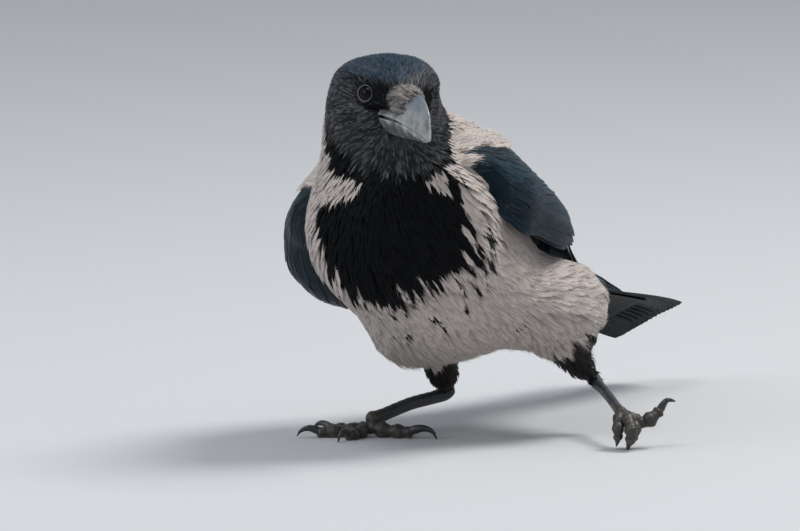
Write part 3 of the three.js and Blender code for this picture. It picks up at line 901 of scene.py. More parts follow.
def buildSkin():
    parts = [(skinPoints, skinQuads, np.zeros(len(skinPoints)))] + [lidMesh(side) for side in eyes]
    points, quads, lid = joined(parts)
    pale = (1 - ease(blackness(points), -3, 1)) * (1 - onShin(points))
    skin = addMesh("skin", points, splitQuads(quads), skinMaterial(), {"pale": pale, "lid": lid},
                   unwrap(points))
    finishPiece(skin, "grey_plumage", *skinSettings["flesh"])


def eyeMaterial():
    finish = Finish("wetEye")
    away = finish.attribute("away")
    colour = finish.mix(finish.noise(900), eyeSettings["iris"], eyeSettings["irisDeep"])
    colour = finish.mix(finish.span(away, 0.40, 0.46), eyeSettings["pupil"], colour)
    colour = finish.mix(finish.span(away, 0.68, 0.76), colour, eyeSettings["white"])
    return finish.shade({
        "Base Color": colour,
        "Roughness": 0.08,
        "Specular IOR Level": 0.06,
        "Coat Weight": 0.14,
        "Coat Roughness": 0.03,
    })


def buildEyes():
    around, rows = 64, 40
    polar = np.linspace(0, math.pi, rows + 1)[:, None]
    angle = np.linspace(0, 2 * math.pi, around, endpoint=False)[None]
    radius = eyeSettings["radius"] * (1 + 0.03 * np.exp(-((polar / 0.42) ** 2)))  # the cornea stands out
    wide = radius * np.sin(polar)
    local = stacked(wide * np.cos(angle), wide * np.sin(angle), radius * np.cos(polar)).reshape(-1, 3)
    away = np.sin(polar) + (polar > math.pi / 2) + 0 * angle  # from the eye's axis, over 1 at the back
    material = eyeMaterial()
    for side, axes in eyes.items():
        eye = addMesh(f"eyeball_{side}", place(axes, local), gridTriangles(rows + 1, around), material,
                      {"away": away.ravel()})
        finishPiece(eye, "eye", f"eye_{side}")


buildSkin()
buildEyes()


# body plumage
coat = {  # each over the distance along the spine from the bill's root, in millimetres
    "length": [[0, 2.6], [12, 3.2], [24, 4.4], [40, 7.0], [55, 11], [75, 16], [100, 20], [150, 24], [215, 27],
               [335, 28]],
    "width": [[0, 0.9], [24, 1.4], [40, 2.1], [55, 2.9], [75, 3.8], [100, 5.4], [150, 6.8], [335, 7.5]],
    "spacing": [[0, 0.9], [24, 1.1], [40, 1.45], [55, 1.9], [75, 2.3], [100, 2.7], [150, 3.0], [335, 3.4]],
    "lift": [[0, 1.3], [40, 1.9], [70, 3.1], [110, 3.2], [335, 2.8]],
    "barbs": [[0, 3], [24, 4], [40, 6], [75, 12], [110, 22], [335, 27]],
    "barbLength": [[0, 1.1], [24, 2.0], [40, 3.2], [75, 6.5], [110, 10], [335, 13]],
    "barbWidth": [[0, 0.16], [24, 0.20], [40, 0.25], [75, 0.30], [110, 0.36], [335, 0.38]],
    "shin": {"length": 10, "width": 2.8, "spacing": 1.7, "lift": 1.6, "barbs": 5, "barbLength": 2.6,
             "barbWidth": 0.26},
    "splay": 9,  # degrees that a feather may turn from the lie
    "patch": 0.003,  # size of a feather in the bake map
    "stations": (0, 0.3, 0.58, 0.82, 1.0),
    "slant": 16,  # degrees that the barbs at the root stand off the shaft
    "ends": {"crown": 0.034, "gloss": 0.037, "collar": 0.105, "flank": 0.185},  # metres along the spine
    "wisps": 0.04,  # share of long feathers that hang over the lower legs
    "flecks": 0.035,  # share of black feathers just below the bib
}


def nodeTree(name):
    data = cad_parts[name].data
    return BVHTree.FromPolygons([tuple(v.co) for v in data.vertices],
                                [tuple(p.vertices) for p in data.polygons])


wingTrees = {side: [nodeTree(f"{part}_{side}") for part in ("wing", "primaries")]
             for side in ("left", "right")}


# true where a wing lies over the skin
def underWing(points, normals, within=14 * mm):
    trees = wingTrees["left"] + wingTrees["right"]
    covered = []
    for point, normal in zip(points, normals):
        start, way = Vector(point + normal * 0.5 * mm), Vector(normal)
        covered.append(any(tree.ray_cast(start, way, within)[0] is not None for tree in trees))
    return np.array(covered)


# roots spread evenly over the skin, as far apart as the coat's spacing says
def scatterRoots():
    triangles = splitQuads(skinQuads)
    a, b, c = (skinPoints[triangles[:, k]] for k in range(3))
    areas = np.linalg.norm(np.cross(b - a, c - a), axis=1) / 2
    middles = (a + b + c) / 3
    stations, _, _ = alongSpine(middles)
    spacing = ramp(coat["spacing"], stations / mm) * mm
    spacing = np.where(onShin(middles) > 0.5, coat["shin"]["spacing"] * mm, spacing)
    expected = areas / spacing ** 2 * 5
    chosen = np.repeat(np.arange(len(areas)), rng.poisson(expected))
    u, v = rng.random((2, len(chosen)))
    u, v = np.where(u + v > 1, 1 - u, u), np.where(u + v > 1, 1 - v, v)
    points = a[chosen] + (b - a)[chosen] * u[:, None] + (c - a)[chosen] * v[:, None]
    reach = spacing[chosen]
    order = rng.permutation(len(points))
    kept = []
    steps = np.arange(-1, 2)
    offsets = [(i, j, k) for i in steps for j in steps for k in steps]
    bands = np.round(np.log(reach / reach.min()) / math.log(1.15)).astype(int)
    for band in range(bands.max() + 1):
        members = order[bands[order] == band]
        if len(members) == 0:
            continue
        size = reach[members].mean()
        cells = np.floor(points[members] / size).astype(int)
        taken = {}
        for index, cell, point in zip(members, map(tuple, cells), points[members]):
            others = (taken.get((cell[0] + i, cell[1] + j, cell[2] + k)) for i, j, k in offsets)
            near = any(other is not None and ((other - point) ** 2).sum() < size * size for other in others)
            if not near and cell not in taken:
                taken[cell] = point
                kept.append(index)
    return points[np.array(kept)]


# where small feathers don't grow: on the eyes and among the bristles at the bill's root
def bareSkin(points):
    bare = np.zeros(len(points), bool)
    for axes in eyes.values():
        local = measure(axes, points) / mm
        bare |= (np.hypot(local[:, 0], local[:, 1]) < 5.9) & (local[:, 2] > 0)
    forward, aside, rise = (measure(head, points) / mm).T
    face = 31.5 - 0.8 * ease(np.abs(aside), 2.5, 6)
    bristly = (forward > face) & (np.abs(aside) < 13) & (rise > -7) & (rise < 11)
    return bare | bristly


def centreLines(roots, length, lift, splay, surface):
    base, normals, flows = surface(roots)
    spread = splay[:, None]
    heading = flows * np.cos(spread) + np.cross(normals, flows) * np.sin(spread)
    lines, ups, headings = [], [], []
    before = 0
    for share in coat["stations"]:
        if share > 0:
            ahead = base + heading * (length * (share - before))[:, None]
            base, normals, flows = surface(ahead)
            heading = tangential(mix(heading, flows, 0.35), normals)
        before = share
        lines.append(base + normals * (lift * share ** 0.75 + 0.05 * mm)[:, None])
        ups.append(normals)
        headings.append(heading)
    return np.stack(lines, 1), np.stack(ups, 1), np.stack(headings, 1)


spikeFaces = [[0, 2, 1], [0, 1, 3], [1, 2, 3], [2, 0, 3]]


# faces of a limb with three corners to each ring
def threeSided(rings):
    faces = []
    for low in range(0, 3 * rings - 3, 3):
        for a, b in ((0, 1), (1, 2), (2, 0)):
            faces += [[low + a, low + 3 + a, low + 3 + b], [low + a, low + 3 + b, low + b]]
    return faces


leafFaces = [[0, 1, 2]] + threeSided(4) + [[9, 12, 10], [10, 12, 11], [11, 12, 9]]
leafWidths = {  # half width at each of the coat's stations
    "rounded": [0.40, 0.92, 1.0, 0.74, 0],
    "pointed": [0.45, 0.95, 0.80, 0.42, 0],
}


# one thin closed vane for each feather
def addVanes(bundle, lines, ups, headings, sides, half, home, tones):
    droop = ups * (half * 0.30)[..., None]
    left = lines + sides * half[..., None] - droop
    right = lines - sides * half[..., None] - droop
    ridge = lines + ups * (half * 0.10 + 0.03 * mm)[..., None]
    body = np.stack([left, ridge, right], axis=2)[:, :4].reshape(len(lines), 12, 3)
    points = np.concatenate([body, lines[:, 4:5]], axis=1)
    across = np.append(np.tile([-1, 0, 1], 4), 0)
    along = np.append(np.repeat(coat["stations"][:4], 3), 1)
    bake = home[:, None] + coat["patch"] * np.stack([across / 2, along], axis=1)
    at = np.append(np.repeat(np.arange(4), 3), 4)
    normals = ups[:, at] + sides[:, at] * (across * 0.38)[:, None] + headings[:, at] * 0.12
    bundle.add(points, leafFaces, stacked(along, across, tones[:, None]), bake, unit(normals))


# feathers with a thin vane and loose barbs, joined into one bundle
def growFeathers(bundle, roots, sizes, pointed, tones, surface=onSkin):
    count = len(roots)
    splay = np.radians(rng.normal(0, coat["splay"], count))
    lines, ups, headings = centreLines(roots, sizes["length"], sizes["lift"], splay, surface)
    sides = np.cross(ups, headings)
    shares = np.array(coat["stations"])
    width = mix(np.array(leafWidths["rounded"]), np.array(leafWidths["pointed"]), pointed[:, None])
    half = width * sizes["width"][:, None] / 2
    home = unwrap(roots)
    addVanes(bundle, lines, ups, headings, sides, half, home, tones)
    # the barbs, a different number on each feather
    owner = np.repeat(np.arange(count), np.maximum(1, rng.poisson(sizes["barbs"])))
    total = len(owner)
    at = rng.uniform(0.15, 0.97, total) ** 0.8
    index = np.clip(np.searchsorted(shares, at) - 1, 0, 3)
    part = (at - shares[index]) / (shares[index + 1] - shares[index])

    def between(grid, part):
        return mix(grid[owner, index], grid[owner, index + 1], part)

    middle = between(lines, part[:, None])
    up, heading, side = (unit(between(grid, part[:, None])) for grid in (ups, headings, sides))
    hand = rng.choice([-1.0, 1.0], total)
    off = rng.beta(2.2, 1.1, total)
    width = between(half, part)
    start = middle + side * (hand * off * width)[:, None] - up * (width * 0.3 * off ** 2 - 0.06 * mm)[:, None]
    slant = np.radians(coat["slant"] * (1.15 - at) * rng.uniform(0.4, 1.3, total)) * hand
    way = heading * np.cos(slant)[:, None] + side * np.sin(slant)[:, None]
    way = unit(way + up * rng.normal(0.0, 0.035, total)[:, None])
    length = sizes["barbLength"][owner] * rng.uniform(0.55, 1.15, total) * (1.1 - 0.35 * at)
    thick = sizes["barbWidth"][owner] * rng.uniform(0.7, 1.25, total)
    flat = np.cross(up, way) * (thick / 2)[:, None]
    corners = np.stack([start + flat, start - flat, start + up * (thick * 0.4)[:, None],
                        start + way * length[:, None]], axis=1)
    reach = np.minimum(1.0, at + length / sizes["length"][owner])
    tone = np.clip(tones[owner] + rng.normal(0, 0.11, total), 0, 1)[:, None]
    lie = stacked(np.stack([at, at, at, reach], 1), (hand * off)[:, None], tone)
    bake = home[owner][:, None] + coat["patch"] * np.stack([lie[..., 1] / 2, lie[..., 0]], axis=2)
    lean = hand * off * 0.3 + rng.normal(0, 0.16, total)
    tilt = side * lean[:, None] + heading * rng.normal(0.05, 0.1, total)[:, None]
    bundle.add(corners, spikeFaces, lie, bake, unit(up + tilt)[:, None])


def coatSizes(points):
    stations, _, _ = alongSpine(points)
    leg = onShin(points) > 0.5
    sizes = {}
    for key in ("length", "width", "lift", "barbs", "barbLength", "barbWidth"):
        value = ramp(coat[key], stations / mm)
        value = np.where(leg, coat["shin"][key], value)
        sizes[key] = value if key == "barbs" else value * mm
    share, _, _ = alongShin(points)
    sizes["length"] += np.where(leg, 5 * ease(share, 0.72, 0.98), 0) * mm  # hanging down round the heel
    sizes["length"] *= rng.uniform(0.82, 1.15, len(points))
    sizes["width"] *= rng.uniform(0.85, 1.15, len(points))
    return sizes, stations, leg


def chosenSizes(sizes, mask):
    return {key: value[mask] for key, value in sizes.items()}


# roots of the feathers that show, with their sizes and the skin under their outer half
def shownRoots():
    roots = scatterRoots()
    roots = roots[~bareSkin(roots)]
    _, normals, flows = onSkin(roots)
    sizes, stations, leg = coatSizes(roots)
    seen, seenNormals, _ = onSkin(roots + flows * (sizes["length"] * 0.7)[:, None])
    hidden = underWing(roots, normals) & underWing(seen, seenNormals)
    across = np.cross(normals, flows) * 8 * mm  # feathers near the wing's rim stay
    for step in (across, -across):
        hidden[hidden] = underWing((roots + step)[hidden], normals[hidden])
    keep = ~hidden
    return roots[keep], flows[keep], seen[keep], stations[keep], leg[keep], chosenSizes(sizes, keep)


# a fuller cap and brow, a loose fringe under the belly, slimmer and flatter feathers farther back and short
# feathers over the shins
def shapeCoat(roots, flows, stations, leg, sizes):
    over = np.zeros(len(roots), bool)
    for part in (0.4, 0.7, 1):
        over |= ~leg & (onShin(onSkin(roots + flows * sizes["length"][:, None] * part)[0]) > 0.1)
    wisp = rng.random(len(roots)) < coat["wisps"]
    sizes["length"] *= np.where(over & ~wisp, rng.uniform(0.2, 0.42, len(roots)), 1)
    sizes["barbLength"] *= np.where(over & ~wisp, 0.35, 1)
    forward, aside, high = (measure(head, roots) / mm).T
    cap = ease(high, 5, 11) * (1 - ease(stations, 0.034, 0.046))
    brow = 1.1 * ease(aside, 5, 13) + 0.4 * ease(-aside, 5, 9) * ease(forward, 0, 8)
    sizes["lift"] += cap * (0.8 + brow) * mm
    sizes["length"] += cap * 1.3 * mm
    fringe = ease(-measure(trunk, roots)[:, 2] / mm, 62, 74) * ease(stations, 0.1, 0.13)
    sizes["barbLength"] *= 1 + 0.6 * fringe
    sizes["lift"] += 2.6 * mm * fringe
    loose = ease(stations, 0.095, 0.14) * ~leg
    sizes["width"] *= 1 - 0.32 * loose
    sizes["lift"] *= 1 - 0.25 * loose


def growCoat():
    roots, flows, seen, stations, leg, sizes = shownRoots()
    shapeCoat(roots, flows, stations, leg, sizes)
    rise = measure(trunk, roots)[:, 2] / mm
    depth = blackness(onSkin(seen + onSkin(seen)[2] * (sizes["length"] * 0.3)[:, None])[0])
    low = ease(-rise, 10, 60)  # the bib's lower edge is the most ragged
    depth += rng.normal(0, 1, len(roots)) * mix(1.1, 2.4, low) + lumps(seen, 11 * mm, 5) * mix(0.8, 2.6, low)
    fleck = (depth > -9) & (depth < -2) & (rise < -12) & (rng.random(len(roots)) < coat["flecks"])
    black = ((depth > 0) | fleck) & ~leg
    sizes["lift"] *= np.where(~black & (stations < 0.085), 1.5, 1)
    pointed = np.where(black | (stations < 0.1), 0.9, 0.25)
    tones = rng.uniform(0, 1, len(roots))
    print(f"coat: {len(roots)} feathers, {black.sum()} of them black")
    glossy = stations + rng.normal(0, 0.003, len(roots)) < coat["ends"]["gloss"]
    crown = stations < coat["ends"]["crown"]
    forward, aside, high = (measure(head, roots) / mm).T
    lore = crown & (forward > 18) & (np.abs(aside) > 4.5) & (high > -4.5) & (high < 8.5)
    grey, upper = ~black & ~leg, rise > -14
    collar, rear = stations < coat["ends"]["collar"], stations >= coat["ends"]["flank"]
    groups = {
        "headFeathers": (black & crown & ~lore, "hoodBlack", "black_plumage"),
        "hoodFeathers": (black & ~crown & glossy, "hoodBlack", "black_plumage"),
        "bibFeathers": (black & ((~crown & ~glossy) | lore), "bibBlack", "black_plumage"),
        "collarFeathers": (grey & collar, "softGrey", "grey_plumage"),
        "backFeathers": (grey & ~collar & upper, "softGrey", "grey_plumage"),
        "flankFeathers": (grey & ~collar & ~rear & ~upper, "softGrey", "grey_plumage"),
        "ventFeathers": (grey & rear & ~upper, "softGrey", "grey_plumage"),
        "shinFeathers": (leg, "shinBrown", "black_plumage"),
    }
    for name, (mask, finish, slot) in groups.items():
        bundle = Bundle()
        growFeathers(bundle, roots[mask], chosenSizes(sizes, mask), pointed[mask], tones[mask])
        finishPiece(bundle.build(name, coatMaterials[finish]), slot)


coatMaterials = {name: plumageMaterial(name) for name in plumage}
growCoat()


# closed wings, in millimetres behind the wrists on the trunk's axes
wing = {
    "middle": [[-20, -18], [90, -20], [150, -18], [173, -15], [217, -9], [262, -1], [325, 8]],
    "low": {
        "left": [[-12, 18], [6, 10], [20, -7], [38, -11], [60, -7], [110, -4], [200, -1], [325, 6]],
        "right": [[-12, 14], [15, -12], [42, -38], [60, -33], [95, -20], [150, -6], [200, -1], [325, 6]],
    },
    "high": [[-12, 34], [30, 40], [80, 58], [150, 80], [200, 84], [325, 78]],
    "coverts": {"start": -12, "ends": [[0, 96], [0.35, 138], [0.8, 196], [1, 184]]},
    "quills": {"start": 112, "ends": [[0, 286], [0.25, 318], [0.5, 296], [1, 226]]},
    # feathers, first base, how far the bases spread, half width, level, lowest and highest share, droop
    # and where the feathers end over the height
    "rows": [
        ("quills", 9, 112, 30, 6.2, -2.0, 0.06, 0.80, 0.25,
         [[0, 284], [0.25, 320], [0.5, 300], [0.85, 246], [1, 226]]),
        ("secondaries", 10, 46, 22, 9.0, -1.0, 0.05, 0.86, 0.42,
         [[0, 98], [0.35, 140], [0.8, 198], [1, 188]]),
        ("primaryCoverts", 3, 22, 6, 4.6, 0.2, 0.02, 0.12, 0.2, [[0, 104], [0.15, 116]]),
        ("greaterCoverts", 11, 12, 14, 6.6, 0.4, 0.06, 0.94, 0.12, [[0, 62], [0.5, 88], [1, 108]]),
        ("medianCoverts", 12, 2, 12, 5.4, 0.9, 0.05, 0.95, 0.08, [[0, 44], [0.5, 62], [1, 80]]),
    ],
    "shapes": {  # outline, spacing of the levels and thickness; any other row is that of the coverts
        "quills": ("long", 0.28, 0.7),
        "secondaries": ("blunt", 0.22, 0.7),
        "coverts": ("rounded", 0.05, 0.35),
    },
    "lesserTips": (2, 9, 16, 23, 30, 37, 44, 51),
    "shoulder": {  # where the loose grey feathers over the wing's front end, over the height
        "left": [[0, 8], [0.15, 4], [0.3, 1], [0.45, -3], [0.6, -1], [0.7, 3], [0.8, 9], [0.87, 24],
                 [0.92, 45], [1, 62]],
        "right": [[0, -16], [0.3, -8], [0.5, 0], [0.7, 14], [0.8, 34], [0.9, 50], [1, 62]],
    },
    "shoulderStart": -12,
    "hollow": -5.5,  # how far the wing's dark inner side reaches towards the body
    "curl": {  # how far the lower and the front rim bend in to the body, along the wing
        "left": [[-20, 12], [10, 10], [45, 3], [110, 1], [325, 0]],
        "right": [[-20, 12], [15, 12], [45, 6], [110, 3], [325, 0]],
    },
}
tail = {  # on the same axes
    "start": 118,
    "end": 338,
    "drop": (-18, 0.5),  # height of its middle at the start and at the end
    "half": (17, 22),  # half its width
    "swing": 12,  # to the left
    "twist": 20,  # degrees, from the twist's start on; the wings' tips turn with it
    "twistStart": 150,
    "feathers": 12,
    "halfWidth": 7.6,
    "rounding": 7,  # how much farther the middle feathers reach
}


def tailMiddle(rearward):
    return mix(*tail["drop"], (rearward - tail["start"]) / (tail["end"] - tail["start"]))


# a place on the trunk's axes, turned with the twisted tail behind the rump
def rearPoint(rearward, leftward, upward):
    twist = math.radians(tail["twist"]) * ease(rearward, tail["twistStart"], tail["end"])
    middle = tailMiddle(rearward)
    rise = upward - middle
    turnedLeft = leftward * np.cos(twist) - rise * np.sin(twist)
    turnedUp = leftward * np.sin(twist) + rise * np.cos(twist)
    return place(trunk, stacked(rearward, turnedLeft, middle + turnedUp) * mm)


reachGrid = {
    "step": 4.0,
    "far": 160,  # where the rays start
    "stations": np.arange(-24, 330, 4.0),
    "angles": np.arange(-56, 104, 4.0),
}


# how far the closed wing's outer side lies from its middle line, for each station and angle
def reachTable(side):
    sign = 1 if side == "left" else -1
    far = reachGrid["far"]
    table = np.full((len(reachGrid["stations"]), len(reachGrid["angles"])), np.nan)
    for i, station in enumerate(reachGrid["stations"]):
        middle = profile(wing["middle"], station)
        start = rearPoint(station, 0.0, middle)
        for j, angle in enumerate(np.radians(reachGrid["angles"])):
            outer = rearPoint(station, sign * far * np.cos(angle), middle + far * np.sin(angle))
            way = Vector(unit(start - outer))
            hits = [tree.ray_cast(Vector(outer), way, far * mm)[3] for tree in wingTrees[side]]
            hits = [hit for hit in hits if hit is not None]
            if hits:
                table[i, j] = far - min(hits) / mm
    # the plate's outline is filled up and smoothed, so that feathers run on over its rims
    weight = 1.0 - np.isnan(table)
    filled = np.nan_to_num(table)
    for _ in range(24):
        total, share = np.zeros_like(filled), np.zeros_like(weight)
        for shift, axis in ((1, 0), (-1, 0), (1, 1), (-1, 1)):
            total += np.roll(filled * weight, shift, axis)
            share += np.roll(weight, shift, axis)
        fresh = (weight == 0) & (share > 0)
        filled[fresh] = (total / np.maximum(share, 1e-9))[fresh]
        weight[fresh] = 1
    for _ in range(3):
        padded = np.pad(filled, 1, mode="edge")
        filled = (padded[:-2, 1:-1] + padded[2:, 1:-1] + padded[1:-1, :-2] + padded[1:-1, 2:]
                  + 4 * padded[1:-1, 1:-1]) / 8
    return filled


reachTables = {side: reachTable(side) for side in wingTrees}


def lookUp(table, station, angle):
    x = (station - reachGrid["stations"][0]) / reachGrid["step"]
    y = (np.degrees(angle) - reachGrid["angles"][0]) / reachGrid["step"]
    x, y = np.clip(x, 0, len(table) - 1.001), np.clip(y, 0, len(table[0]) - 1.001)
    i, j = x.astype(int), y.astype(int)
    u, v = x - i, y - j
    return mix(mix(table[i, j], table[i + 1, j], u), mix(table[i, j + 1], table[i + 1, j + 1], u), v)


# a place on the wing: station, share of the way from the lower to the upper rim, and a step aside
def wingPoint(side, station, share, aside, lift):
    sign = 1 if side == "left" else -1
    low, high = profile(wing["low"][side], station), profile(wing["high"], station)
    angle = np.radians(mix(low, high, share))
    angle = angle + aside / lookUp(reachTables[side], station, angle)
    height = (np.degrees(angle) - low) / (high - low)
    rim = np.maximum((1 - ease(height, -0.04, 0.3)) ** 2, (1 - ease(station, -16, 6)) ** 2)
    out = lookUp(reachTables[side], station, angle) + lift - rim * profile(wing["curl"][side], station)
    rise = profile(wing["middle"], station) + out * np.sin(angle)
    return rearPoint(station, sign * out * np.cos(angle), rise)


# the same on the tail, which takes no notice of the side
def tailPoint(side, station, share, aside, lift):
    opened = ease(station, tail["start"], tail["end"])
    half = mix(*tail["half"], opened)
    across = share * half + aside
    roof = -3.5 * (across / half) ** 2
    return rearPoint(station, tail["swing"] * opened + across, tailMiddle(station) + roof + lift)


# triangles of a closed slab whose two faces are grids of the same size
def slabTriangles(rows, columns):
    index = np.arange(2 * rows * columns).reshape(2, rows, columns)
    quads = [np.stack([f[:-1, :-1], f[1:, :-1], f[1:, 1:], f[:-1, 1:]], -1).reshape(-1, 4)[:, ::way]
             for f, way in ((index[0], 1), (index[1], -1))]
    top, under = index
    for a, b in ((top[0], under[0]), (top[:, -1], under[:, -1])):
        quads.append(np.stack([a[:-1], a[1:], b[1:], b[:-1]], -1))
    for a, b in ((top[-1], under[-1]), (top[:, 0], under[:, 0])):
        quads.append(np.stack([a[1:], a[:-1], b[:-1], b[1:]], -1))
    return splitQuads(np.concatenate(quads))


vaneOutlines = {
    "long": [[0, 0.55], [0.15, 0.9], [0.6, 1], [0.86, 0.86], [0.95, 0.62], [0.985, 0.36], [1, 0.1]],
    "blunt": [[0, 0.6], [0.2, 0.95], [0.7, 1], [0.9, 0.9], [0.965, 0.62], [1, 0.2]],
    "square": [[0, 0.6], [0.2, 0.95], [0.9, 1], [0.972, 0.93], [0.99, 0.72], [1, 0.35]],
    "rounded": [[0, 0.6], [0.35, 1], [0.7, 0.96], [0.87, 0.74], [0.96, 0.42], [1, 0.12]],
}
atlasSide = 16  # feathers along each side of the bake map


# lays closed vanes on a surface; all the arrays have one value for each feather
def layVanes(bundle, surface, side, first, last, shares, halfWidths, levels, outline, droop=0.2, thick=0.5,
             rows=26, columns=7, drift=0.0, ragged=1.0):
    count = len(first)
    t = np.linspace(0, 1, rows)
    x = np.linspace(-1, 1, columns)
    station = first[:, None] + (last - first)[:, None] * t
    share = shares[0][:, None] + (shares[1] - shares[0])[:, None] * t
    width = halfWidths[:, None] * ramp(vaneOutlines[outline], t)
    edge = np.ones((count, rows, columns))
    for column in (0, columns - 1):
        wave = 1 + 0.035 * ragged * rng.normal(size=(count, rows)).cumsum(axis=1) / math.sqrt(rows)
        split = rng.random((count, rows)) < 0.045 * ragged
        wave = np.where(split & (t > 0.45)[None], wave * rng.uniform(0.55, 0.85, (count, rows)), wave)
        edge[:, :, column] = np.clip(wave, 0.4, 1.08)
    aside = width[:, :, None] * x[None, None] * edge
    bow = drift * np.sin(math.pi * t)[None, :, None]
    # each lower rim lies over the next feather down, each upper rim under the next one up
    camber = -droop * x ** 2 - 0.45 * x * np.minimum(1, halfWidths[:, None, None] / 6)
    lift = levels[:, None, None] + camber * np.ones_like(aside)
    lift = lift - 0.5 * ease(1 - t, 0.8, 1.0)[None, :, None]
    lift = lift + rng.normal(0, 0.22 * ragged, (count, 1, 1)) * ease(t, 0.5, 1)[None, :, None]
    station, share = (values[:, :, None] + 0 * aside for values in (station, share))
    shaft = thick * (0.25 + 0.75 * np.exp(-((x / 0.16) ** 2)))[None, None] * (1 - 0.6 * t)[None, :, None]
    top, under = (surface(side, station, share, aside + bow, lift - low) for low in (0, 0.12 + shaft))
    normals = gridNormals(top, top - under)
    points = np.stack([top, under], axis=1).reshape(count, -1, 3)
    normals = np.stack([normals, -normals], axis=1).reshape(count, -1, 3)
    tones = rng.uniform(0, 1, count)
    lie = stacked(t[None, None, :, None], x[None, None, None], tones[:, None, None, None])
    lie = np.broadcast_to(lie, (count, 2, rows, columns, 3)).reshape(count, -1, 3)
    cell = bundle.bodies + np.arange(count)
    bundle.bodies += count
    corner = np.stack([cell % atlasSide, cell // atlasSide], axis=1) / atlasSide
    inner = np.stack([(lie[..., 1] + 1) / 2, lie[..., 0]], axis=-1) * 0.9 + 0.05
    bake = corner[:, None] + inner / atlasSide
    bundle.add(points, slabTriangles(rows, columns), lie, bake, normals, np.abs(last - first) * mm)


# a dark core under the vanes, so that no gap shows between them
def layCore(bundle, surface, side, stations, shares, lifts, ends=None):
    rows, columns = 40, 26
    share = np.linspace(shares[0], shares[1], columns)
    last = profile(ends, share) - 12 if ends else np.full(columns, stations[1])
    station = stations[0] + (last - stations[0])[None] * np.linspace(0, 1, rows)[:, None]
    share = np.broadcast_to(share, station.shape)
    # rounded towards the rims
    rim = np.minimum(1, np.minimum(np.arange(columns), columns - 1 - np.arange(columns)) / 3)[None]
    rim = rim * np.minimum(1, (np.arange(rows) / 3))[:, None]
    bulge = np.sqrt(1 - (1 - rim) ** 2)
    top = surface(side, station, share, 0 * station, mix(lifts[0], lifts[1], bulge))
    under = surface(side, station, share, 0 * station, lifts[0] + 0 * station - 0.3)
    normals = gridNormals(top, top - under)
    points = np.stack([top, under]).reshape(1, -1, 3)
    lie = stacked((station - stations[0]) / (last.max() - stations[0]), 0.5, 0.1)
    lie = np.stack([lie, lie]).reshape(1, -1, 3)
    bake = 0.97 + 0.02 * np.stack([np.stack([share, share]).ravel(), lie[0, :, 0]], 1)  # the atlas' last cell
    normals = np.stack([normals, -normals]).reshape(1, -1, 3)
    bundle.add(points, slabTriangles(rows, columns), lie, bake[None], normals, 0.1)


def buildWing(side):
    bundle = Bundle()
    coverts, quills = wing["coverts"], wing["quills"]
    layCore(bundle, wingPoint, side, (coverts["start"] + 1, 0), (0.02, 0.98), (wing["hollow"], -2.2),
            coverts["ends"])
    layCore(bundle, wingPoint, side, (quills["start"], 0), (0.06, 0.86), (-3.4, -2.6), quills["ends"])
    for name, count, base, spread, half, level, low, high, droop, ends in wing["rows"]:
        outline, stack, thick = wing["shapes"].get(name, wing["shapes"]["coverts"])
        order = np.linspace(0, 1, count)
        share = mix(low, high, order) + rng.normal(0, 0.006, count)
        last = profile(ends, share) + rng.normal(0, 1.1, count)
        start = mix(share, 0.45, 0.35) if name == "quills" else share
        layVanes(bundle, wingPoint, side, base + spread * order, last, (start, share),
                 half * rng.uniform(0.94, 1.06, count), level + stack * np.arange(count) * 0.8, outline,
                 droop, thick, rows=34 if name == "quills" else 28, drift=0.6 * rng.normal())
    for row, tip in enumerate(wing["lesserTips"]):
        arc = 52 + 18 * min(1, (tip + 10) / 40) + (16 if side == "right" else 0)
        count = int(arc / 5.4)
        share = (np.arange(count) + 0.5 * (row % 2) + 0.25) / count + rng.normal(0, 0.01, count)
        last = tip + 22 * share * min(1, (tip + 4) / 30) + rng.normal(0, 0.8, count)
        layVanes(bundle, wingPoint, side, last - rng.uniform(13, 16, count), last, (share, share),
                 rng.uniform(3.6, 4.5, count), 1.55 - 0.04 * row + rng.normal(0, 0.05, count), "rounded",
                 0.12, 0.25, rows=9, columns=5, ragged=0.6)
    piece = bundle.build(f"wingFeathers_{side}", vaneMaterials["wingVanes"])
    finishPiece(piece, "flight_feathers", f"wing_{side}", f"primaries_{side}")


# loose grey feathers that hang from the shoulder over the wing's front and upper rim
def buildShoulder(side):
    stations, shares = np.meshgrid(np.arange(-26, 84, 2.0), np.linspace(-0.1, 1.08, 40), indexing="ij")
    sheet, above = (wingPoint(side, stations, shares, 0 * stations, lift) for lift in (1.3, 2.3))
    flow = unit(np.gradient(sheet, axis=0))
    normals = gridNormals(sheet, above - sheet)
    onSheet = nearestOn(sheet.reshape(-1, 3), normals.reshape(-1, 3), flow.reshape(-1, 3))
    count = 1500
    share, length = rng.uniform(-0.08, 1.04, count), rng.uniform(12, 20, count)
    start = rng.uniform(wing["shoulderStart"], 46, count)
    keep = start + length * 0.97 < profile(wing["shoulder"][side], share) + rng.normal(0, 1.6, count)
    share, length, start = share[keep], length[keep], start[keep]
    roots = wingPoint(side, start, share, 0 * start, 1.3)
    even = np.ones(len(roots))
    sizes = {"length": length * mm, "width": rng.uniform(4, 6, len(roots)) * mm, "lift": 2.3 * mm * even,
             "barbs": 16 * even, "barbLength": 7.5 * mm * even, "barbWidth": 0.32 * mm * even}
    bundle = Bundle()
    growFeathers(bundle, roots, sizes, 0.5 * even, rng.uniform(0, 1, len(roots)), onSheet)
    finishPiece(bundle.build(f"shoulderFeathers_{side}", coatMaterials["softGrey"]), "grey_plumage")


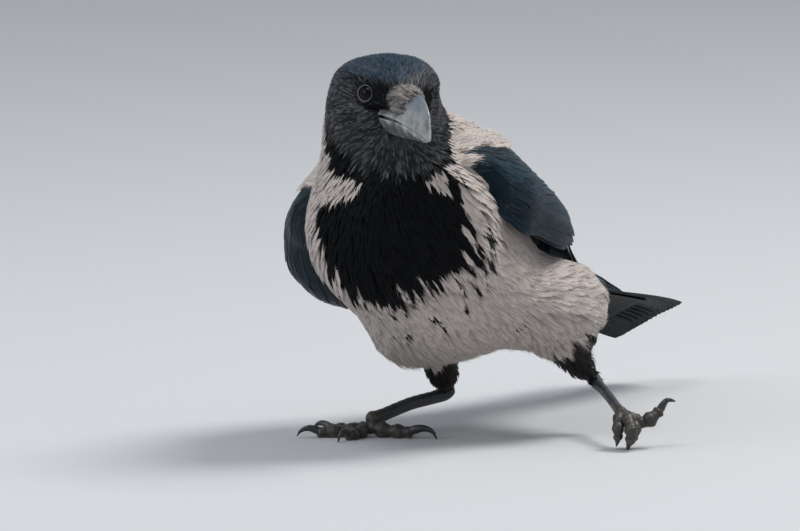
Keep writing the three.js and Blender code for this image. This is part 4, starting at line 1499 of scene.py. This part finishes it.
def buildTail():
    bundle = Bundle()
    layCore(bundle, tailPoint, "left", (tail["start"] + 8, 296), (-0.62, 0.62), (-1.6, -0.4))
    half = (tail["feathers"] - 1) / 2
    for order in np.argsort(-np.abs(np.arange(tail["feathers"]) - half)):
        aside = (order - half) / half
        last = tail["end"] - 1 - tail["rounding"] * aside ** 2 - 0.4 * rng.random()
        level = 0.6 - 1.2 * abs(aside)
        values = (tail["start"] + 6.0, last, aside * 0.66, aside * 0.72, tail["halfWidth"], level)
        first, last, root, tip, width, level = (np.array([value]) for value in values)
        layVanes(bundle, tailPoint, "left", first, last, (root, tip), width, level, "square", 0.25, 0.6,
                 rows=40, columns=9, ragged=0.12)
    finishPiece(bundle.build("tailFeathers", vaneMaterials["tailVanes"]), "flight_feathers", "tail")


vaneMaterials = {name: vaneMaterial(name) for name in ("wingVanes", "tailVanes")}
for side in ("left", "right"):
    buildWing(side)
    buildShoulder(side)
buildTail()


# bill
bill = {  # millimetres on the head's axes
    "gape": 21,
    "tip": 79.8,
    "gapeDrop": -6.5,
    "tipDrop": -12.4,
    "depth": 19,
    "halfWidth": 8.4,
    "gapeHalfWidth": 11,
    "lowerTip": 0.965,
    "gap": (0.5, 1.5),  # at the tip, and how much more at the gape
    "cap": -0.07,  # share of the length where its hidden root starts
    # the horn is paler than the bill's own dark slate: partly painted reflection of the sky
    "horn": (0.27, 0.275, 0.262, 1),
    "hornPale": (0.42, 0.45, 0.46, 1),
    "hornDark": (0.085, 0.095, 0.105, 1),
    "hornBrown": (0.11, 0.10, 0.09, 1),
    "paintedRidgeBlue": (0.055, 0.095, 0.14, 1),
    "roughness": 0.15,
}


def mouthLine(s):
    return mix(bill["gapeDrop"], bill["tipDrop"], s ** 3)


def culmen(s):
    top = bill["gapeDrop"] + bill["depth"] * 0.9
    return mix(bill["tipDrop"], top, np.maximum(0, 1 - s ** 4) ** 0.58)


def billWidth(s):
    s = np.maximum(s, 0)
    flare = (bill["gapeHalfWidth"] - bill["halfWidth"]) * np.maximum(0, 1 - s / 0.28) ** 2
    return bill["halfWidth"] * np.maximum(0, 1 - s ** 2.3) ** 0.8 + flare


def billPlace(s, aside, rise):
    return place(head, stacked(mix(bill["gape"], bill["tip"], s), aside, rise) * mm)


def upperSurface(s, angle):
    floor = mouthLine(s)
    height = np.maximum(0, np.sin(angle))
    arch = 1 - np.abs(np.cos(angle)) ** 1.9
    lip = 0.28 * np.exp(-((height / 0.16) ** 2)) * (1 - ease(s, 0.5, 0.95))  # rolled cutting edge
    ridge = 0.35 * np.exp(-((np.cos(angle) / 0.16) ** 2)) * (1 - ease(s, 0.75, 1.0))
    aside = (billWidth(s) + lip) * np.cos(angle)
    under = np.where(np.sin(angle) < 0, 0.5 * (1 - np.cos(angle) ** 2), 0)
    rise = floor + (culmen(s) - floor) * np.where(np.sin(angle) > 0, arch, 0) + under + ridge * (height > 0)
    return aside, rise


def lowerSurface(s, angle):
    t = np.maximum(s, 0) / bill["lowerTip"]
    gap = bill["gap"][0] + bill["gap"][1] * (1 - ease(s, 0.0, 0.66))
    roof = mouthLine(s) - gap
    deep = (bill["depth"] - 10.4) * np.maximum(0, 1 - t ** 2.4) ** 0.7
    arch = 1 - np.abs(np.cos(angle)) ** 2.4
    keel = 0.3 * np.exp(-((np.cos(angle) / 0.2) ** 2)) * ease(s, 0.2, 0.5)
    ramus = 0.22 * np.exp(-(((-np.sin(angle) - 0.45) / 0.18) ** 2)) * (1 - ease(s, 0.35, 0.8))
    aside = (0.94 * billWidth(np.minimum(t, 1)) + ramus) * np.cos(angle)
    tongue = (gap - 0.12) * ease(np.sin(angle), 0.6, 0.9)  # closes the slit between the two halves
    rise = roof - (deep * arch + keel) * (np.sin(angle) < 0) + tongue
    return aside, rise


def buildBill(name, node, surface, last):
    rows, around = 90, 72
    angle = np.linspace(0, 2 * math.pi, around, endpoint=False)[None]
    t = np.linspace(0, 1, rows)[:, None]
    s = bill["cap"] + (last * 0.9995 - bill["cap"]) * (1 - (1 - t) ** 1.6)
    aside, rise = surface(s, angle)
    grain = 0.035 * np.sin(s * 95 + 2.2 * np.sin(angle * 3)) * (1 - ease(s, 0.3, 0.75))
    points = billPlace(s, aside * (1 + grain / 12), rise + grain).reshape(-1, 3)
    caps = billPlace(np.array([bill["cap"] - 0.02, last]), 0.0, rise[[0, -1]].mean(axis=1))
    edge = np.exp(-((np.sin(angle) / 0.22) ** 2))
    lie = np.concatenate([stacked(s, np.sin(angle), edge).reshape(-1, 3), [[0, 0, 0], [1, 0, 0]]])
    piece = addMesh(name, np.concatenate([points, caps]), cappedTriangles(rows, around), billMaterial(name),
                    {"lie": lie})
    finishPiece(piece, "bill", node)


def billMaterial(name):
    mottled = name == "billLower"
    finish = Finish(name)
    along, height, edge = finish.lie()
    blotches, fine = finish.noise(160, 4), finish.noise(900)
    low, high = (0.36, 0.66) if mottled else (0.2, 0.68)
    colour = finish.mix(finish.span(blotches, low, high), bill["hornDark"], bill["horn"])
    if mottled:
        colour = finish.mix(finish.span(fine, 0.45, 0.62, (0, 0.4)), colour, bill["hornBrown"])
        colour = finish.mix(finish.span(blotches, 0.55, 0.7, (0, 0.5)), colour, bill["hornPale"])
    rim = finish.times(edge, finish.span(along, 0.25, 0.6, (1, 0.12)))
    rim = finish.times(rim, finish.span(blotches, 0.3, 0.55, (0.35, 0.95)))
    colour = finish.mix(rim, colour, bill["hornPale"])
    if not mottled:
        # painted reflection: darker and bluer towards the ridge
        ridge = finish.times(finish.span(height, 0.6, 0.95, (0, 0.7)), finish.span(along, 0.95, 0.6))
        colour = finish.mix(ridge, colour, bill["paintedRidgeBlue"])
    grain = finish.noise(60, 3, finish.vector(finish.times(along, 0.02), height, edge))
    rough = bill["roughness"]
    return finish.shade({
        "Base Color": colour,
        "Normal": finish.bump(finish.plus(finish.times(grain, 0.6), fine, 0.4), 0.00018, 0.5),
        "Roughness": finish.span(fine, 0.3, 0.75, (rough - 0.05, rough + 0.16)),
        "Coat Weight": 0.6,
        "Coat Roughness": 0.15,
    })


buildBill("billUpper", "bill_upper", upperSurface, 1.0)
buildBill("billLower", "bill_lower", lowerSurface, bill["lowerTip"])


# bristles over the nostrils, in millimetres
bristles = {
    "count": 1700,
    "knots": 7,  # along each bristle
    "reach": 31.5,  # how far forward of the gape the longest tips come
    "sides": (27, 153),  # degrees round the bill, from its left to its right
    "length": (10, 17),
    "thick": (0.14, 0.25),
    "clumps": 12,  # in each radian
}


def buildBristles():
    count, knots = bristles["count"], bristles["knots"]
    full = bill["tip"] - bill["gape"]
    angle = rng.uniform(*np.radians(bristles["sides"]), count)
    middle = np.sin(angle)
    # hanging lower at the sides, the tips end on a slanting line
    tip = (bristles["reach"] - 12 * (1 - middle) ** 1.2 + rng.normal(0, 1.4, count)) / full
    length = rng.uniform(*bristles["length"], count) / full
    root = np.maximum(tip - length - rng.beta(1.2, 1.6, count) * 12 / full, (2 + 6.5 * middle) / full)
    tip = np.minimum(tip, root + rng.uniform(14, 18, count) / full)
    t = np.linspace(0, 1, knots)[None]
    s = root[:, None] + (tip - root)[:, None] * t
    group = np.round(angle * bristles["clumps"] + rng.normal(0, 0.3, count))
    clump = group[:, None] / bristles["clumps"]
    turn = mix(angle[:, None], clump, mix(0.1, 0.6, t)) + 0.04 * np.sin(6 * t + clump * 21)
    # swept forward and up to the ridge, except for the lowest
    turn = np.clip(turn + 0.38 * np.cos(turn) * ease(np.sin(turn), 0.4, 0.8) * t, 0.42, math.pi - 0.42)
    aside, rise = upperSurface(np.maximum(s, 0.0), turn)
    lift = mix(0.25, 0.35, t) * rng.uniform(0.5, 1.3, (count, 1)) + 0.9 * np.sin(math.pi * t)
    aside = aside + lift * np.cos(turn)
    rise = rise + lift * np.sin(turn)
    flat = billPlace(s, aside, rise).reshape(-1, 3)
    base, normals, _ = onSkin(flat)
    height = ((flat - base) * normals).sum(axis=1)
    near = np.linalg.norm(flat - base, axis=1) < 9 * mm
    wanted = np.tile(mix(0.3, 0.5, t[0]), count) * mm * np.repeat(rng.uniform(0.5, 1.5, count), knots)
    flat = flat + normals * np.where(near, np.maximum(0, wanted - height), 0)[:, None]
    line = flat.reshape(count, knots, 3)
    ahead = unit(np.gradient(line, axis=1))
    outward = unit(line - billPlace(s, 0.0, 0.0))
    side = unit(np.cross(ahead, outward))
    up = np.cross(side, ahead)
    thick = (rng.uniform(*bristles["thick"], (count, 1)) * (1 - t ** 1.8 * 0.92) * mm)[..., None]
    ring = np.stack([line + side * thick, line + up * thick * 0.8, line - side * thick], axis=2)
    end = knots * 3 - 1
    triangles = [[0, 1, 2], [end - 2, end, end - 1]] + threeSided(knots)
    tones = np.clip(np.where(group % 2, 0.85, 0.35) + rng.normal(0, 0.18, count), 0, 1)
    lie = stacked(np.repeat(t, 3, axis=1), 0.6, tones[:, None])
    bake = unwrap(line[:, 0])[:, None] + coat["patch"] * stacked(0, lie[..., 0])
    normals = np.repeat(unit(up + side * rng.normal(0, 0.25, (count, 1, 1))), 3, axis=1)
    bundle = Bundle()
    bundle.add(ring.reshape(count, knots * 3, 3), triangles, lie, bake, normals)
    finishPiece(bundle.build("nasalBristles", coatMaterials["bristleBrown"]), "black_plumage")


buildBristles()


# scaly legs, toes and claws, in millimetres
legSettings = {
    "sleeve": 15,  # how far the scaly leg runs on under the shin's feathers
    "tarsus": {"right": 3.4, "left": 2.75},
    "toe": 3.9,
    "claw": 2.4,
    "scute": {"tarsus": 5.4, "toe": 2.7},
    "skin": (0.034, 0.029, 0.025, 1),
    "bluish": (0.028, 0.037, 0.045, 1),
    "seam": (0.085, 0.072, 0.060, 1),
    "pad": (0.082, 0.066, 0.053, 1),
    "horn": (0.012, 0.013, 0.016, 1),
    "hornStreak": (0.045, 0.043, 0.042, 1),
}
rightToes = {  # heading round to the right, reach, nail, height of its tip and thickness
    "inner": (8, 20, 9, -0.5, 0.95),
    "middle": (54, 29, 11, 1, 1),
    "outer": (97, 27, 10, 1, 0.92),
    "back": (260, 26, 14, -0.3, 1.12),
}
leftToes = {  # thickness, and steps ahead, aside and up from the ball for the toe and its nail
    "inner": (0.9, [[7, 4, -2], [10, 4.5, -8], [7, 4, -12]], [[4, 3.2, -14.5], [2.5, 3, -17]]),
    "middle": (1, [[11, 1, -3], [15, 1, -9], [12, 1, -13]], [[8, 1, -16.5], [6.5, 1, -19]]),
    "outer": (0.88, [[7, -4.5, -2], [9, -5, -8], [7, -4.5, -12]], [[3.5, -4, -14.5], [1.5, -4, -17]]),
    "back": (1.1, [[3, 10, -4], [4, 16, -1], [3, 21, 3]], [[3, 24.5, 8], [3, 29.5, 7.4]]),
}


# a smooth line through a few points, as many steps as wanted and closer together at its ends
def smoothLine(knots, count):
    knots = np.asarray(knots, float)
    knots = np.concatenate([[2 * knots[0] - knots[1]], knots, [2 * knots[-1] - knots[-2]]])
    pieces = []
    for p in (knots[i:i + 4] for i in range(len(knots) - 3)):
        at = np.concatenate([[0], np.cumsum(np.linalg.norm(np.diff(p, axis=0), axis=1) ** 0.5)])
        t = np.linspace(at[1], at[2], 20, endpoint=False)[:, None]
        level = list(p)
        for apart in (1, 2):
            level = [mix(level[k], level[k + 1], (t - at[k]) / (at[k + apart] - at[k]))
                     for k in range(len(level) - 1)]
        pieces.append(mix(level[0], level[1], (t - at[1]) / (at[2] - at[1])))
    line = np.concatenate(pieces + [knots[-2:-1]])
    lengths = np.concatenate([[0], np.cumsum(np.linalg.norm(np.diff(line, axis=0), axis=1))])
    share = np.linspace(0, 1, count)
    share = share - 0.11 * np.sin(2 * math.pi * share)
    points = np.stack([np.interp(share * lengths[-1], lengths, line[:, k]) for k in range(3)], axis=1)
    return points, share, lengths[-1]


def roundEnds(t, share):
    inner = np.clip(np.minimum(t, 1 - t) / share, 0.0004, 1)
    return np.sqrt(1 - (1 - inner) ** 2)


# a closed limb round a line: bulk gives its radius for each share of the length and height round it
def limb(knots, upper, rows, around, bulk, narrow=1.0):
    line, share, length = smoothLine(knots, rows)
    ahead = unit(np.gradient(line, axis=0))
    side = unit(np.cross(ahead, np.broadcast_to(np.asarray(upper, float), ahead.shape)))
    top = np.cross(side, ahead)
    angle = np.linspace(0, 2 * math.pi, around, endpoint=False)[None]
    radius, phase = bulk(share[:, None], np.sin(angle), length)
    wide, tall = radius * np.cos(angle) * narrow, radius * np.sin(angle)
    points = line[:, None] + side[:, None] * wide[..., None] + top[:, None] * tall[..., None]
    points = np.concatenate([points.reshape(-1, 3), line[[0, -1]]])
    points[:, 2] = np.maximum(points[:, 2], 0.05)  # flat where it rests
    lie = stacked(phase, np.sin(angle), share[:, None]).reshape(-1, 3)
    lie = np.concatenate([lie, [[0.5, 0, 0], [0.5, 0, 1]]])
    triangles = cappedTriangles(rows, around)
    corners = points[triangles]
    if (np.cross(corners[:, 0], corners[:, 1]) * corners[:, 2]).sum() < 0:
        triangles = triangles[:, ::-1]
    return sole + points * mm, triangles, lie


# overlapping plates across the upper side, each highest just behind its front edge
def plates(run, size, height):
    phase = run / size % 1
    raised = ease(phase, 0, 0.35) * (0.7 + 0.3 * phase) * (1 - ease(phase, 0.86, 1))
    return raised * ease(height, -0.25, 0.3), phase


def tarsusBulk(thick):
    def bulk(t, height, length):
        heelAt = legSettings["sleeve"] / length
        knobs = 0.9 * np.exp(-(((t - heelAt) / 0.075) ** 2)) + 1.6 * np.exp(-(((1 - t) / 0.09) ** 2))
        raised, phase = plates(t * length, legSettings["scute"]["tarsus"], height)
        keel = 0.35 * ease(-height, 0.55, 0.95)  # the sharp rear edge
        radius = thick + knobs + 0.6 * (1 - ease(t, 0, heelAt)) + 0.26 * raised + keel
        return radius * roundEnds(t, 0.05), phase
    return bulk


def toeBulk(thick):
    def bulk(t, height, length):
        raised, phase = plates(t * length + 0.8, legSettings["scute"]["toe"], height)
        swelling = 1 + 0.13 * np.cos(2 * math.pi * 3 * t) - 0.2 * t
        pad = 0.10 * ease(-height, 0.1, 0.7) * np.cos(2 * math.pi * 3 * t)
        radius = legSettings["toe"] * thick * (swelling + pad) + 0.30 * raised
        return radius * roundEnds(t, 0.12), phase
    return bulk


def clawBulk(thick):
    def bulk(t, height, length):
        taper = np.minimum(1, 1.15 * np.maximum(1 - t, 0) ** 0.75 + 0.05)
        groove = 1 - 0.14 * ease(-height, 0.45, 0.95)
        return legSettings["claw"] * thick * taper * groove * roundEnds(t, 0.03), 0 * t
    return bulk


def legPoints(side):
    return (np.array(legKnots[side][key], float) for key in ("knee", "heel", "ball"))


# the lines of one foot's toes and nails, from the ball
def toeLines(side):
    _, heel, ball = legPoints(side)
    if side == "right":
        for heading, reach, nail, tip, thick in rightToes.values():
            turn = math.radians(heading)
            low = legSettings["toe"] * thick * 0.78 - 0.3

            def at(far, rise):
                return ball * (1, 1, 0) + (-math.sin(turn) * far, -math.cos(turn) * far, rise)

            flesh = [at(0, low + 2.6), at(reach * 0.4, low + 0.5), at(reach * 0.75, low + 0.15),
                     at(reach, low)]
            horn = [at(reach - 2.5, low + 0.5), at(reach + nail * 0.4, low + 2.6),
                    at(reach + nail * 0.8, low + 1.1), at(reach + nail, tip)]
            yield thick, flesh, horn
        return
    ahead = unit((ball - heel) * (1, 1, 0))
    turn = np.array([ahead, (-ahead[1], ahead[0], 0), (0, 0, 1)])
    for thick, steps, nail in leftToes.values():
        flesh = [ball] + [ball + step @ turn for step in np.array(steps, float)]
        horn = [mix(flesh[-1], flesh[-2], 0.25)] + [ball + step @ turn for step in np.array(nail, float)]
        yield thick, flesh, horn


def buildLeg(side):
    knee, heel, ball = legPoints(side)
    sleeve = heel + unit(knee - heel) * legSettings["sleeve"]
    middle = mix(heel, ball, 0.5) + (0, 0, 0.8)
    ahead = unit(ball - heel)
    front = np.cross(ahead, np.cross((0, 0, 1.0), ahead))
    upper = (0, 0, 1.0) if side == "right" else unit(ahead * (1, 1, 0)) * 0.4 + (0, 0, 0.8)
    tarsus = limb([sleeve, heel, middle, ball], front, 150, 40, tarsusBulk(legSettings["tarsus"][side]), 0.86)
    scaly, horns = [tarsus], []
    for thick, flesh, horn in toeLines(side):
        scaly.append(limb(flesh, upper, 96, 40, toeBulk(thick), 0.95))
        horns.append(limb(horn, upper, 40, 28, clawBulk(thick), 0.8))
    points, triangles, lie = joined(scaly)
    tarsal = np.zeros(len(points))
    tarsal[:len(tarsus[0])] = 1 - ease(tarsus[2][:, 2], 0.75, 0.95)
    leg = addMesh(f"legScales_{side}", points, triangles, legMaterials["legScales"],
                  {"lie": lie, "tarsal": tarsal})
    finishPiece(leg, "leg_scales", *[f"toe_{toe}_{side}" for toe in rightToes], f"tarsus_{side}")
    points, triangles, lie = joined(horns)
    claws = addMesh(f"claws_{side}", points, triangles, legMaterials["clawHorn"], {"lie": lie})
    finishPiece(claws, "claw", *[f"claw_{toe}_{side}" for toe in rightToes])


def legMaterial():
    finish = Finish("legScales")
    phase, height, _ = finish.lie()
    grains = {"Vector": finish.coords(), "Scale": 950}
    grains = finish.add("ShaderNodeTexVoronoi", grains, feature="DISTANCE_TO_EDGE").outputs["Distance"]
    grain = finish.span(grains, 0.0, 0.16)
    dust = finish.noise(330, 4)
    colour = finish.mix(finish.attribute("tarsal"), legSettings["skin"], legSettings["bluish"])
    colour = finish.mix(finish.span(height, -0.15, -0.7, (0, 0.8)), colour, legSettings["pad"])
    seam = finish.times(finish.span(phase, 0.80, 0.97), finish.span(height, -0.2, 0.3))
    crack = finish.times(finish.span(grain, 0.55, 0.0), finish.span(height, 0.25, -0.1))
    worn = finish.times(finish.maths("MAXIMUM", seam, crack), finish.span(dust, 0.35, 0.65, (0, 0.8)))
    colour = finish.mix(worn, colour, legSettings["seam"])
    colour = finish.mix(finish.span(finish.noise(110, 2), 0.48, 0.8, (0, 0.5)), colour, legSettings["pad"])
    scaly = finish.times(grain, finish.span(height, 0.35, -0.1))
    return finish.shade({
        "Base Color": colour,
        "Normal": finish.bump(finish.plus(scaly, dust, 0.35), 0.00035, 0.7),
        "Roughness": finish.span(dust, 0.3, 0.7, (0.36, 0.58)),
        "Specular IOR Level": 0.42,
    })


def clawMaterial():
    finish = Finish("clawHorn")
    _, height, along = finish.lie()
    fibres = finish.noise(9, 4, finish.vector(finish.times(along, 0.4), finish.times(height, 3.0)))
    colour = finish.mix(finish.span(fibres, 0.42, 0.72), legSettings["horn"], legSettings["hornStreak"])
    colour = finish.mix(finish.span(along, 0.22, 0.0, (0, 0.6)), colour, legSettings["seam"])
    return finish.shade({
        "Base Color": colour,
        "Normal": finish.bump(fibres, 0.0002, 0.35),
        "Roughness": finish.span(fibres, 0.3, 0.7, (0.20, 0.34)),
        "Specular IOR Level": 0.5,
    })


legMaterials = {"legScales": legMaterial(), "clawHorn": clawMaterial()}
for side in ("right", "left"):
    buildLeg(side)


setStudio()
